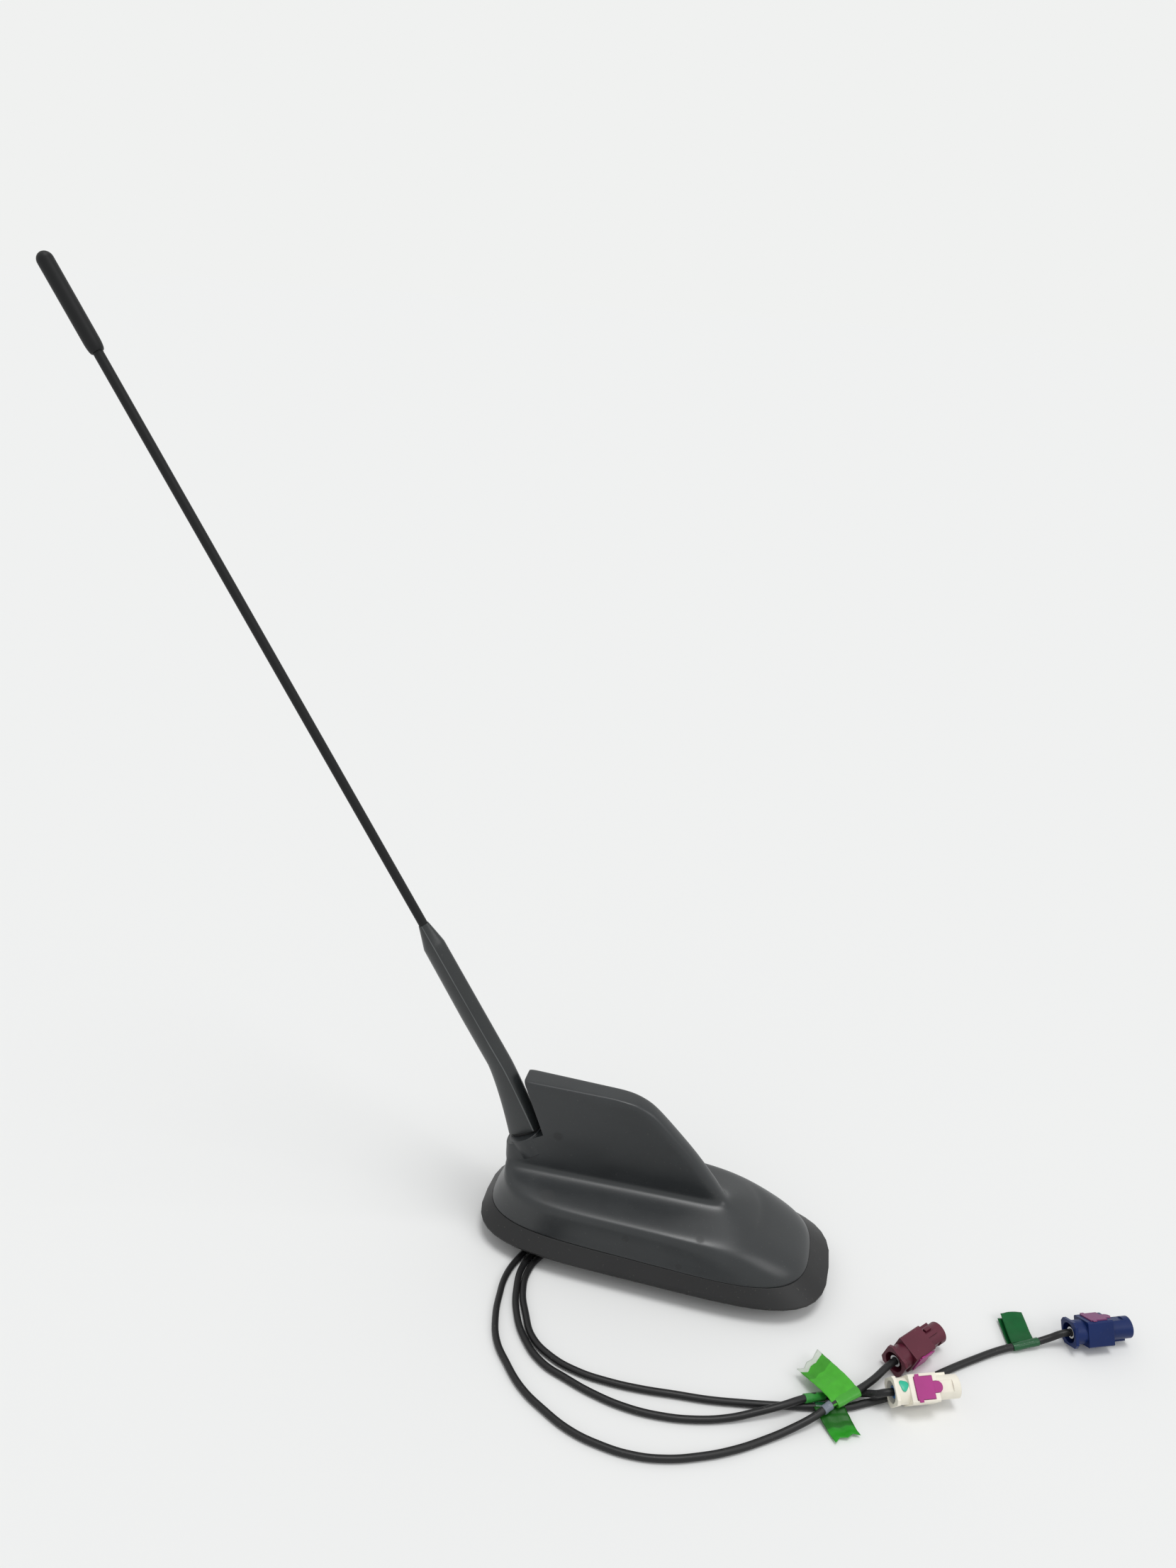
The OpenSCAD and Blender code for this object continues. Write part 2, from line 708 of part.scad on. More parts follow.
lead_sides = 8;
lead_into_plug = 3;
module lead_cable(i) {
    into = heading(i);
    exit = [-channel_rear, exit_y[i], exit_z];
    points = concat([exit], lead_routes[i],
                    [plug_places[i] - 2.5 * into, plug_places[i] + lead_into_plug * into]);
    last = len(points) - 1;
    color([0.14, 0.14, 0.15])
    loft([
        for (j = [0:last])
            let (way = j == 0 ? [-1, 0, 0] : j == last ? into : unit(points[j + 1] - points[j - 1]))
            let (side = unit(cross([0, 0, 1], way)), up = cross(way, side))
            [for (k = [0:lead_sides - 1])
                let (a = 360 * (k + 0.5) / lead_sides)
                points[j] + lead_d / 2 * (cos(a) * side + sin(a) * up)]
    ]);
}

flange_t = 1.4;
neck_end = 6;
body_end = 17.5;
entry_d = 8;
entry_l = 7;
barrel_bore = 6.8;
barrel_bore_l = 9;
corner_cut = 1.5;
body_cut = 0.5;
lock_l = 7.5;
lock_w = 8;
lock_depth = 1.4;
lock_x = 8;
rib_w = 1.6;
rib_h = 0.8;

module cut_square(w, cut) {
    h = w / 2;
    polygon([
        [h - cut, h], [h, h - cut], [h, cut - h], [h - cut, -h],
        [cut - h, -h], [-h, cut - h], [-h, h - cut], [cut - h, h]
    ]);
}

module lead_connector(i) {
    color(plug_colours[i])
    at_plug(i)
        difference() {
            union() {
                along_plug(0)
                    linear_extrude(flange_t)
                        cut_square(plug_w, corner_cut);
                along_plug(0)
                    cylinder(d = plug_w - 0.8, h = neck_end + 1);
                along_plug(neck_end)
                    linear_extrude(body_end - neck_end)
                        cut_square(plug_w, body_cut);
                along_plug(body_end - 1)
                    cylinder(d = barrel_d, h = plug_l - body_end + 1);
                translate([body_end - 1, -rib_w / 2, -barrel_d / 2 - rib_h])
                    cube([plug_l - body_end - 1, rib_w, rib_h + 1]);
                translate([body_end - 1, -rib_w / 2, barrel_d / 2 - 1])
                    cube([4, rib_w, rib_h + 1]);
                translate([body_end - 1, barrel_d / 2 - 1, -rib_w / 2])
                    cube([plug_l - body_end - 3, rib_h + 1, rib_w]);
            }
            along_plug(-1)
                cylinder(d = entry_d, h = entry_l + 1);
            along_plug(entry_l - 1)
                cylinder(d = contact_d + 2 * fit, h = plug_l);
            along_plug(plug_l - barrel_bore_l)
                cylinder(d = barrel_bore, h = barrel_bore_l + 1);
            translate([lock_x, -lock_w / 2 - slack, plug_w / 2 - lock_depth])
                cube([lock_l + slack, lock_w + 2 * slack, lock_depth + 1]);
            translate([lock_x + lock_l - 1, -2.1, plug_w / 2 - lock_depth])
                cube([body_end - lock_x, 4.2, lock_depth + 1]);
        }
}

// Second lock: a plate with side tabs and a tongue towards the barrel
module lead_lock(i) {
    tab = 0.9;
    proud = 0.5;
    color([0.7, 0.25, 0.55])
    at_plug(i)
        translate([lock_x + slack, 0, plug_w / 2 - lock_depth]) {
            translate([0, -lock_w / 2, 0])
                cube([lock_l - slack, lock_w, lock_depth + proud]);
            translate([0.6, -lock_w / 2 - tab, lock_depth])
                cube([1.6, lock_w + 2 * tab, proud]);
            translate([lock_l - slack - 0.5, -2, 0])
                cube([3, 4, lock_depth + 0.2]);
            translate([lock_l + 1.6, 0, 0])
                cylinder(d = 4, h = lock_depth + 0.2);
        }
}

// Crimped sleeve on the lead, seen in the hole of the flange
module lead_ferrule(i) {
    color([0.7, 0.7, 0.7])
    at_plug(i)
        along_plug(0.8)
            difference() {
                cylinder(d = contact_d - 0.6, h = entry_l - 0.8);
                translate([0, 0, -1])
                    cylinder(d = lead_d + 0.3, h = entry_l + 2);
            }
}

tube_end = plug_l - 2;
tube_wall = 0.55;
module lead_outer_contact(i) {
    color([0.8, 0.75, 0.5])
    at_plug(i)
        along_plug(entry_l)
            difference() {
                cylinder(d = contact_d, h = tube_end - entry_l);
                translate([0, 0, -1])
                    cylinder(d = contact_d - 2 * tube_wall, h = tube_end + 2);
            }
}

insulator_d = contact_d - 2 * tube_wall - 2 * fit;
insulator_end = plug_l - 6;
pin_d = 1;
module lead_insulator(i) {
    color([0.95, 0.95, 0.9])
    at_plug(i)
        along_plug(entry_l + 1)
            difference() {
                cylinder(d = insulator_d, h = insulator_end - entry_l - 1);
                translate([0, 0, -1])
                    cylinder(d = pin_d + 2 * fit, h = plug_l);
            }
}

module lead_pin(i) {
    color([0.85, 0.7, 0.3])
    at_plug(i)
        along_plug(entry_l + 0.2) {
            cylinder(d = pin_d, h = plug_l - 3.5 - entry_l - 0.2);
            cylinder(d = pin_d + 0.6, h = 0.8);
        }
}

// Tapes: each is wrapped round a straight stretch of a lead, and the flags stand out flat
tape_bore = lead_d + 0.1;
tape_d = tape_bore + 2 * tape_t;
flag_t = 0.4;
module tape(a, b, outline = []) {
    length = norm(b - a);
    difference() {
        union() {
            along(a, b)
                cylinder(d = tape_d, h = length);
            if (len(outline) > 0)
                translate([0, 0, a.z - flag_t / 2])
                    linear_extrude(flag_t)
                        polygon(outline);
        }
        along(a, b)
            translate([0, 0, -length])
                cylinder(d = tape_bore, h = 3 * length);
    }
}

module phone_tape() {
    color([0.3, 0.68, 0.25])
    tape([84, -64.03, 5.2], [92.3, -55.98, 5.2],
         [[85, -63.06], [91.8, -56.46], [77.9, -41], [76.7, -38.9], [69.6, -47.1], [69.9, -51.8]]);
}

module radio_tape() {
    color([0.1, 0.43, 0.22])
    tape([76.4, -61.94, 3.26], [80, -59.62, 1.98]);
}

module satnav_tape_near() {
    color([0.1, 0.43, 0.22])
    tape([77, -65.02, lie], [87.4, -62.17, lie],
         [[77.5, -64.9], [87, -62.3], [94.1, -70.2], [92.9, -74.9], [85.4, -76.8]]);
}

module satnav_tape_far() {
    color([0.1, 0.43, 0.22])
    tape([152, -14.48, 1.8], [162.5, -9.06, 1.8],
         [[154.7, -13.1], [162, -9.3], [159.8, 7.4], [153.9, 6], [150.8, 4.2]]);
}

cover();
base_gasket();
base_plate();
cable_grommet();
cover_seal();
cover_screws();
board_screws();
circuit_board();
shield_can();
satnav_patch();
phone_element();
seat_bush();
mast_insert();
mast_nut();
contact_spring();
foot_seal();
mast_sleeve();
mast_rod();
mast_tip_cap();
for (i = [0:2]) {
    lead = lead_names[i];
    lead_cable(i);
    lead_connector(i);
    lead_lock(i);
    lead_ferrule(i);
    lead_outer_contact(i);
    lead_insulator(i);
    lead_pin(i);
}
phone_tape();
radio_tape();
satnav_tape_near();
satnav_tape_far();
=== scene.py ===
# %% [markdown]
# # A car roof antenna
# The object stands on a white table. It has a fin housing on a flared gasket, a raked whip, and
# three thin leads with keyed connectors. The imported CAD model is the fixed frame: each piece made
# here goes where the CAD node is, in metres, and either dresses that node or stands for it.

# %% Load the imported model
import math
import bmesh
import bpy
from mathutils import Matrix, Vector


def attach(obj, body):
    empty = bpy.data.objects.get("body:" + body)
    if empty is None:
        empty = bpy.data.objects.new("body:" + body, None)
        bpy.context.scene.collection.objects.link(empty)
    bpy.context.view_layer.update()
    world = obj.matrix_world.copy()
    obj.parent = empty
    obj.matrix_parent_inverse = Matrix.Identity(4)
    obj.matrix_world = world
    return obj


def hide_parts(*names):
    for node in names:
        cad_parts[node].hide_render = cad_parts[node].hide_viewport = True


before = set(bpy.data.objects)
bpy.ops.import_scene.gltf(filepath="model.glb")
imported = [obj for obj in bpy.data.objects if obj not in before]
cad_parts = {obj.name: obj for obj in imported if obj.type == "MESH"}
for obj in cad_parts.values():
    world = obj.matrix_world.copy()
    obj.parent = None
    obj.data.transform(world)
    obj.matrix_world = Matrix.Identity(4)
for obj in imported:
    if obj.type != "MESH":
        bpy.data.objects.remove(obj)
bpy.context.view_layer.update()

# %% [markdown]
# ## From data to object
# In Blender a mesh, a curve or a lamp is only data. An object holds it, and the scene shows the
# object once a collection holds that. Every step below needs both, so one helper does it.

# %% Put data in the scene
def put(name, data):
    made = bpy.data.objects.new(name, data)
    bpy.context.scene.collection.objects.link(made)
    return made


print("collection:", bpy.context.scene.collection.name)

# %% [markdown]
# ## The camera
# The photograph was taken from above the table, looking down by about 23 degrees. Its camera was
# solved beforehand. Two directions below are the picture's right and the way back from the lens,
# and their cross product is its up.
# A camera object takes the three as the columns of its matrix, so it isn't aimed by eye.

# %% Camera
PHOTO_H = 2212  # the photograph is upright, so its height is the longer side
FOCAL_PIXELS = 1622.0
camera_at = Vector((0.043769, -0.395145, 0.391189))
camera_right = Vector((0.968297, 0.241756, 0.062896))
camera_back = Vector((0.198341, -0.897114, 0.394775))
camera_up = camera_back.cross(camera_right)

lens = bpy.data.cameras.new("camera")
lens.sensor_fit = "AUTO"
lens.sensor_width = 36
lens.lens = FOCAL_PIXELS * lens.sensor_width / PHOTO_H
camera = put("camera", lens)
camera_turn = Matrix((camera_right, camera_up, camera_back)).transposed()
camera.matrix_world = Matrix.Translation(camera_at) @ camera_turn.to_4x4()
bpy.context.scene.camera = camera
print("lens", round(lens.lens, 2), "mm")

# %% [markdown]
# ## Shader maths as Python
# A finish is a tree of small nodes. Wire holds one output socket, so that sums on it read as
# plain Python and each operator adds its Math node. Finish holds one material and adds any other
# node from its type, its settings and its inputs.

# %% Wire and Finish
class Wire:
    def __init__(self, finish, socket):
        self.finish, self.socket = finish, socket

    def maths(self, operation, first, second):
        return self.finish.node("ShaderNodeMath", {"operation": operation}, {0: first, 1: second})

    def __add__(self, other): return self.maths("ADD", self, other)
    def __radd__(self, other): return self.maths("ADD", other, self)
    def __sub__(self, other): return self.maths("SUBTRACT", self, other)
    def __rsub__(self, other): return self.maths("SUBTRACT", other, self)
    def __mul__(self, other): return self.maths("MULTIPLY", self, other)
    def __rmul__(self, other): return self.maths("MULTIPLY", other, self)


class Finish:
    def __init__(self, name, tree=None):
        self.material = None
        if tree is None:
            self.material = bpy.data.materials.new(name)
            self.material.use_nodes = True
            tree = self.material.node_tree
        self.tree = tree

    def feed(self, socket, value):
        if isinstance(value, Wire):
            self.tree.links.new(value.socket, socket)
        else:
            socket.default_value = value

    def node(self, kind, settings=(), inputs=(), output=0):
        made = self.tree.nodes.new(kind)
        for key, value in dict(settings).items():
            if key == "stops":
                ramp = made.color_ramp.elements
                while len(ramp) < len(value):
                    ramp.new(0.5)
                for stop, (place, colour) in zip(ramp, value):
                    stop.position, stop.color = place, colour
            else:
                setattr(made, key, value)
        for key, value in dict(inputs).items():
            self.feed(made.inputs[key], value)
        return Wire(self, made.outputs[output])

    def here(self):
        """The place on the piece, in metres."""
        return self.node("ShaderNodeTexCoord", output="Object")

    def noise(self, at, scale, detail=2.0, rough=0.5):
        return self.node("ShaderNodeTexNoise", {}, {"Vector": at, "Scale": scale, "Detail": detail,
                                                    "Roughness": rough})

    def step(self, value, low, high):
        """0 below low, 1 above high, and a straight rise between them."""
        return self.node("ShaderNodeMapRange", {"clamp": True},
                         {"Value": value, "From Min": low, "From Max": high})

    def blend(self, share, first, second):
        return self.node("ShaderNodeMix", {"data_type": "RGBA"}, {0: share, 6: first, 7: second}, 2)

    def bump(self, height, depth, normal=None):
        inputs = {"Height": height, "Distance": depth, "Strength": 1.0}
        if normal is not None:
            inputs["Normal"] = normal
        return self.node("ShaderNodeBump", {}, inputs)

    def soft_edge(self, radius):
        """Normals as if each edge had this radius."""
        return self.node("ShaderNodeBevel", {"samples": 6}, {"Radius": radius})

    def dress(self, **surface):
        """Feed the shader's own sockets: base_color=..., roughness=... and so on."""
        shader = self.tree.nodes["Principled BSDF"]
        for name, value in surface.items():
            self.feed(shader.inputs[name.replace("_", " ").title().replace("Ior", "IOR")], value)
        return self


def srgb(red, green, blue):
    """A colour as a screen shows it, 0 to 255, as the light that a shader works in."""
    def light(v):
        v = v / 255
        return v / 12.92 if v < 0.04045 else ((v + 0.055) / 1.055) ** 2.4
    return (light(red), light(green), light(blue), 1.0)


def shade(colour, by):
    return tuple(min(1.0, c * by) for c in colour[:3]) + (1.0,)


print("half grey is", round(srgb(128, 128, 128)[0], 3))

# %% [markdown]
# ## The leads
# Thin coaxial lead is springy, so it runs in wide smooth bows. Each lead is a curve through a few
# chosen points on the table, with automatic handles, and a round bevel gives it its jacket.
# The points follow the CAD tube's route, only smoother where the radio lead meets its connector.
# The photograph shows every lead end to end, so the drawn length is the real one.

# %% Routes of the three leads, in millimetres
MM = 0.001
LEAD_D = 2.8
LIE = 1.5  # height of a lead's axis where it lies on the table
CHANNEL_REAR, CHANNEL_Z = 13.3, 4
PLUG_BACK, PLUG_DEPTH = 2.5, 3  # a lead's last points, behind and inside its connector
EXIT_Y = {"phone": 3.3, "radio": 0.0, "satnav": -3.3}
ROUTES = {
    "phone": [
        (-18, 3.2, 3.6), (-25, 2, 2.4), (-34, -2), (-42, -9), (-49, -18), (-53.5, -28), (-56, -39),
        (-55.5, -50), (-53.5, -61.5), (-49.5, -72), (-42.5, -81), (-33.5, -90), (-23, -96.5),
        (-11, -102), (1, -104.5), (13, -105), (25, -103), (37, -98.5), (48.5, -92.5), (60, -84.5),
        (70, -77, 2.5), (77, -71.5, 4.2), (83, -65, 5.2), (93, -55.3, 5.3), (98, -49.8, 5.7)],
    "radio": [
        (-18, -0.3, 3.6), (-24.5, -2, 2.4), (-33, -6.3), (-40.5, -13.5), (-47, -22), (-50.6, -32),
        (-49.7, -44.5), (-46, -56.5), (-39, -68), (-29.5, -76.5), (-18, -81), (-6, -84.5),
        (7, -86.5), (20, -86.3), (33, -84), (45, -80, 1.8), (56, -75, 3.2), (64.5, -70.8, 4.6),
        (71, -66.2, 4.6), (76, -62.2, 3.4), (80.5, -59.3, 1.8), (85, -56.8), (90, -55.3, 1.7),
        (94, -54.9, 2.9), (97, -55.5, 4.6), (99.8, -56.6, 6.8)],
    "satnav": [
        (-18, -4, 3.6), (-24, -6, 2.4), (-32, -10.5), (-39, -17), (-44.8, -24.9), (-47.6, -33.9),
        (-46.7, -45), (-42.2, -56), (-36, -66.5), (-26.5, -73), (-15, -76.5), (-2, -77.5),
        (11, -77), (24, -75.5), (37, -74), (50, -71.5), (63.5, -68.5), (76, -65.3), (88, -62),
        (96.5, -57.3), (106, -51.3), (117, -42), (126, -34), (139, -23.5), (151, -15, 1.8),
        (163, -8.8, 2.4), (169.5, -6, 4.4)],
}
# Rear end of each connector, its heading in degrees, how far its springy lead rolls it from the
# CAD's flat pose, and the rise that keeps the rolled square's corner on the table
PLUGS = {
    "phone": ((105.9, -39.2, 5.1), 49.0, 16.0, 1.08),
    "radio": ((104.6, -55.7, 8.4), 22.7, 33.0, 0.0),
    "satnav": ((176.8, -3.2, 5.1), 23.6, -30.0, 1.62),
}
print("points on the routes:", {lead: len(route) for lead, route in ROUTES.items()})


def heading(lead):
    angle = math.radians(PLUGS[lead][1])
    return Vector((math.cos(angle), math.sin(angle), 0))


def lead_points(lead):
    rear = Vector(PLUGS[lead][0]) + Vector((0, 0, PLUGS[lead][3]))
    points = [Vector((-CHANNEL_REAR, EXIT_Y[lead], CHANNEL_Z))]
    points += [Vector(p if len(p) == 3 else (p[0], p[1], LIE)) for p in ROUTES[lead]]
    points += [rear - PLUG_BACK * heading(lead), rear + PLUG_DEPTH * heading(lead)]
    return [p * MM for p in points]


# %% A lead as a curve
def lay_lead(lead):
    points = lead_points(lead)
    data = bpy.data.curves.new(f"{lead}_lead", "CURVE")
    data.dimensions = "3D"
    data.bevel_depth = 1.0  # each knot's own radius gives the thickness
    data.bevel_resolution = 5
    data.resolution_u = 8
    data.use_fill_caps = True
    spline = data.splines.new("BEZIER")
    spline.bezier_points.add(len(points) - 1)
    for knot, place in zip(spline.bezier_points, points):
        knot.co = place
        knot.radius = LEAD_D / 2 * MM
        knot.handle_left_type = knot.handle_right_type = "AUTO"
    lead_object = put(f"{lead}_lead", data)
    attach(lead_object, "root")
    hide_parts(f"{lead}_cable")
    length = sum((b - a).length for a, b in zip(points, points[1:]))
    print(lead, "lead", round(length, 3), "m")
    return lead_object, length


leads = {lead: lay_lead(lead) for lead in ROUTES}

# %% [markdown]
# ## Finishes
# Nearly everything here is dark moulded plastic or rubber. Such a surface is one colour with a
# fine grain, slow cloudy patches where hands and dust have touched it, and edges that are never
# quite sharp. One function makes them all: the patches change the colour and the roughness, the
# grain goes to a Bump node, and a Bevel node under it softens the edges. It can also paint a
# lighter line along marked vertices, a painted highlight, with a lower roughness there.

# %% Moulded plastic and rubber
PATCH_SCALE, SPECK_SCALE = 55, 1100
# The first colour is settled dust. The second is lighter and is a painted highlight for a crest
# line.
SETTLED_DUST, PAINTED_CREST_HIGHLIGHT = srgb(190, 186, 178), srgb(128, 132, 132)


def moulding(name, tone, rough, smudge=0.08, grain=0.0003, depth=0.00002, soften=0.0003,
             dust=0.0, shine=0.5, spots=(), highlight_attribute=None):
    finish = Finish(name)
    at = finish.here()
    patches = finish.noise(at, PATCH_SCALE, 3, 0.6)
    fine = finish.noise(at, 1 / grain, 2)
    colour = finish.blend(finish.step(patches, 0.3, 0.7), shade(tone, 0.88), shade(tone, 1.12))
    roughness = rough + (patches - 0.5) * (2 * smudge) + (fine - 0.5) * 0.08
    if dust:
        specks = finish.step(finish.noise(at, SPECK_SCALE, 1), 0.7, 0.8) * dust
        colour = finish.blend(specks, colour, SETTLED_DUST)
    # A lighter colour along the marked vertices is a painted highlight. The lower roughness there
    # makes the surface smoother.
    if highlight_attribute:
        edge = finish.node("ShaderNodeAttribute", {"attribute_name": highlight_attribute}, {}, "Fac")
        painted_highlight = finish.step(edge + (patches - 0.5) * 0.3, 0.72, 0.95)
        colour = finish.blend(painted_highlight * 0.5, colour, PAINTED_CREST_HIGHLIGHT)
        roughness = roughness - painted_highlight * 0.1
    for place, size in spots:
        away = finish.node("ShaderNodeVectorMath", {"operation": "DISTANCE"},
                           {0: at, 1: [v * MM for v in place]}, "Value")
        mark = (1 - finish.step(away + (patches - 0.5) * 0.002, size * 0.6 * MM, size * MM)) * 0.55
        colour = finish.blend(mark, colour, shade(tone, 0.35))
        roughness = roughness + mark * 0.25
    normal = finish.bump(fine, depth, finish.soft_edge(soften))
    return finish.dress(base_color=colour, roughness=roughness, normal=normal,
                        specular_ior_level=shine)


# %% The mouldings of this antenna
# Round dark marks on the housing, as from fingers: place and radius in millimetres
FINGER_MARKS = [((-44.6, -6.0, 52.7), 2.6), ((-44.8, -19.5, 30.8), 3.4), ((-8.2, -26.6, 24.5), 2.0),
                ((22.7, -22.4, 29.8), 2.2), ((15.6, -28.1, 17.4), 1.8)]
housing = moulding("charcoal_housing", srgb(37, 40, 42), 0.33, smudge=0.05, depth=0.000015,
                   dust=0.05, shine=0.55, spots=FINGER_MARKS)
gasket = moulding("black_gasket", srgb(27, 27, 28), 0.48, dust=0.07, shine=0.4)
seal_rubber = moulding("seal_rubber", srgb(20, 20, 21), 0.65, shine=0.35)
# The lighter line along this finish's crest vertices is a painted highlight.
sleeve = moulding("satin_sleeve", srgb(38, 41, 42), 0.32, smudge=0.05, grain=0.0005, dust=0.04,
                  highlight_attribute="crest")
rod_skin = moulding("rod_skin", srgb(20, 21, 22), 0.5, smudge=0.05, shine=0.25)
jacket = moulding("lead_jacket", srgb(25, 25, 26), 0.42, smudge=0.12, grain=0.0008, soften=0.0001,
                  dust=0.08, shine=0.35)
bordeaux = moulding("bordeaux_plastic", srgb(88, 28, 46), 0.4, dust=0.1, shine=0.35)
ivory = moulding("ivory_plastic", srgb(240, 235, 220), 0.42, smudge=0.05, shine=0.35)
blue = moulding("blue_plastic", srgb(7, 34, 88), 0.4, dust=0.05, shine=0.25)
magenta = moulding("magenta_plastic", srgb(166, 43, 126), 0.4, shine=0.4)
dusky = moulding("dusky_magenta", srgb(120, 60, 106), 0.45, dust=0.15, shine=0.35)
white_plastic = moulding("white_insulator", srgb(232, 232, 226), 0.4)
blue_ferrule = moulding("blue_ferrule", srgb(40, 104, 160), 0.35)
teal_paint = moulding("teal_paint", srgb(34, 184, 148), 0.35, smudge=0.04, grain=0.0006)
board = moulding("green_board", srgb(24, 98, 58), 0.3, grain=0.0009)
ceramic = moulding("fired_ceramic", srgb(186, 172, 148), 0.5)
print("mouldings made, with", len(FINGER_MARKS), "finger marks on the housing")

# %% [markdown]
# ## Metals
# The roof side of the antenna is a raw casting with plated screws, and the contacts are plated
# brass. An even metal looks false, so slow stains change its colour and its roughness, and a
# fine grain breaks up the reflections.

# %% Casting, plating, brass and copper
STAIN_SCALE, STAIN_ROUGHNESS, METAL_EDGE = 140, 0.12, 0.0002


def metal(name, tone, rough, grain=0.0004):
    finish = Finish(name)
    at = finish.here()
    stain = finish.noise(at, STAIN_SCALE, 4, 0.65)
    fine = finish.noise(at, 1 / grain, 3)
    colour = finish.blend(finish.step(stain, 0.35, 0.7), shade(tone, 0.8), shade(tone, 1.06))
    roughness = rough + (stain - 0.5) * (2 * STAIN_ROUGHNESS) + (fine - 0.5) * 0.1
    normal = finish.bump(fine, 0.00002, finish.soft_edge(METAL_EDGE))
    return finish.dress(base_color=colour, roughness=roughness, normal=normal, metallic=1.0)


casting = metal("raw_casting", srgb(178, 180, 182), 0.5, grain=0.0006)
plated = metal("plated_steel", srgb(196, 197, 198), 0.32)
brass = metal("plated_brass", srgb(206, 176, 108), 0.3)
copper = metal("copper_sheet", srgb(200, 134, 96), 0.35)
print("metals made")

# %% [markdown]
# ## Tape
# The tapes are thin glossy film. The stuck part looks darker and lets the lead show through, a
# double layer is darker again, and the torn end is clear where the colour has come off. Those
# zones run along the tape, so this finish reads the film's own UV map.

# %% Green film
CREASE_SCALE, CREASE_DEPTH, CLEAR_EDGE = 260, 0.00012, 0.012
CLEAR_FILM = srgb(212, 222, 208)


def film(name, tone, zones, clear_from=2.0):
    """zones are (place along the flag, brightness) stops; past clear_from the film is clear."""
    finish = Finish(name)
    uv = finish.node("ShaderNodeTexCoord", output="UV")
    along = finish.node("ShaderNodeSeparateXYZ", {}, {0: uv}, 1)
    at = finish.here()
    creases = finish.noise(at, CREASE_SCALE, 3, 0.6)
    stops = [(place, (bright, bright, bright, 1)) for place, bright in zones]
    level = finish.node("ShaderNodeValToRGB", {"stops": stops}, {0: along})
    tint = finish.blend(finish.step(creases, 0.3, 0.7), shade(tone, 0.92), shade(tone, 1.1))
    colour = finish.node("ShaderNodeMix", {"data_type": "RGBA", "blend_type": "MULTIPLY"},
                         {0: 1.0, 6: tint, 7: level}, 2)
    torn = finish.step(along + (creases - 0.5) * 0.06, clear_from, clear_from + CLEAR_EDGE)
    colour = finish.blend(torn, colour, CLEAR_FILM)
    return finish.dress(base_color=colour, roughness=0.3 + creases * 0.15,
                        alpha=1 - torn * 0.45, normal=finish.bump(creases, CREASE_DEPTH),
                        specular_ior_level=0.2)


LIGHT_CLEAR = 0.885
light_film = film("light_green_film", srgb(74, 172, 50),
                  [(0.0, 0.8), (0.08, 1.0), (0.66, 1.0), (0.675, 0.7), (0.88, 0.76)], LIGHT_CLEAR)
near_film = film("near_green_film", srgb(30, 114, 25),
                 [(0.0, 0.55), (0.6, 0.75), (0.64, 1.4), (0.74, 1.8)])
dark_film = film("dark_green_film", srgb(6, 88, 40), [(0.0, 0.8), (0.5, 1.0), (1.0, 1.06)])
wrap_film = moulding("green_wrap", srgb(66, 160, 46), 0.3, grain=0.0009, depth=0.00006, shine=0.4)
dark_wrap = moulding("dark_green_wrap", srgb(18, 82, 44), 0.28, grain=0.0009, depth=0.00008,
                     shine=0.4)
radio_wrap = moulding("mid_green_wrap", srgb(50, 136, 55), 0.28, grain=0.0009, depth=0.00008,
                      shine=0.4)
clear_wrap = moulding("milky_wrap", srgb(112, 120, 132), 0.25, grain=0.0009, depth=0.0001)
print("films made, clear at the torn end from", LIGHT_CLEAR, "of the light flag's length")

# %% [markdown]
# ## Making pieces
# A shape starts as a bmesh. `place_piece` turns it into an object that rides on the part. Its
# faces are shaded smooth except across hard edges, and weighted normals keep flat faces flat.

# %% From bmesh to piece
def place_piece(name, bm, finish, replaces=(), crease=35, outwards=True):
    if outwards:
        bmesh.ops.remove_doubles(bm, verts=bm.verts, dist=1e-6)
        bmesh.ops.recalc_face_normals(bm, faces=bm.faces)
    mesh = bpy.data.meshes.new(name)
    bm.to_mesh(mesh)
    bm.free()
    mesh.shade_smooth()
    mesh.set_sharp_from_angle(angle=math.radians(crease))
    mesh.materials.append(finish.material)
    made = put(name, mesh)
    made.modifiers.new("flat_faces", "WEIGHTED_NORMAL").keep_sharp = True
    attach(made, "root")
    if replaces:
        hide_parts(*replaces)
    print(name, "faces:", len(mesh.polygons))
    return made


# %% Rounded edges and copies of CAD nodes
HARD_EDGE, FLAT_AREA = math.radians(35), math.radians(0.4)


def bevel(bm, edges, radius, segments=2):
    bmesh.ops.bevel(bm, geom=edges, offset=radius * MM, offset_type="OFFSET", segments=segments,
                    profile=0.5, affect="EDGES", clamp_overlap=True, material=-1)


def round_edges(bm, radius):
    bevel(bm, [e for e in bm.edges if len(e.link_faces) == 2 and e.calc_face_angle() > HARD_EDGE],
          radius)


def from_node(node):
    """A CAD node's triangles merged into one skin, with flat areas joined into single faces."""
    bm = bmesh.new()
    bm.from_mesh(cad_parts[node].data)
    bmesh.ops.remove_doubles(bm, verts=bm.verts, dist=2e-6)
    bmesh.ops.dissolve_limit(bm, angle_limit=FLAT_AREA, verts=bm.verts, edges=bm.edges)
    return bm


def finished_node(node, finish, radius=0.0, turn=None):
    """A dressed copy of a CAD node, with edges of this radius, turned by a matrix."""
    bm = from_node(node)
    if radius:
        round_edges(bm, radius)
    if turn:
        bmesh.ops.transform(bm, matrix=turn, verts=bm.verts)
    return place_piece(f"{node}_finished", bm, finish, [node], outwards=False)


print("edges sharper than", round(math.degrees(HARD_EDGE)), "degrees are rounded")

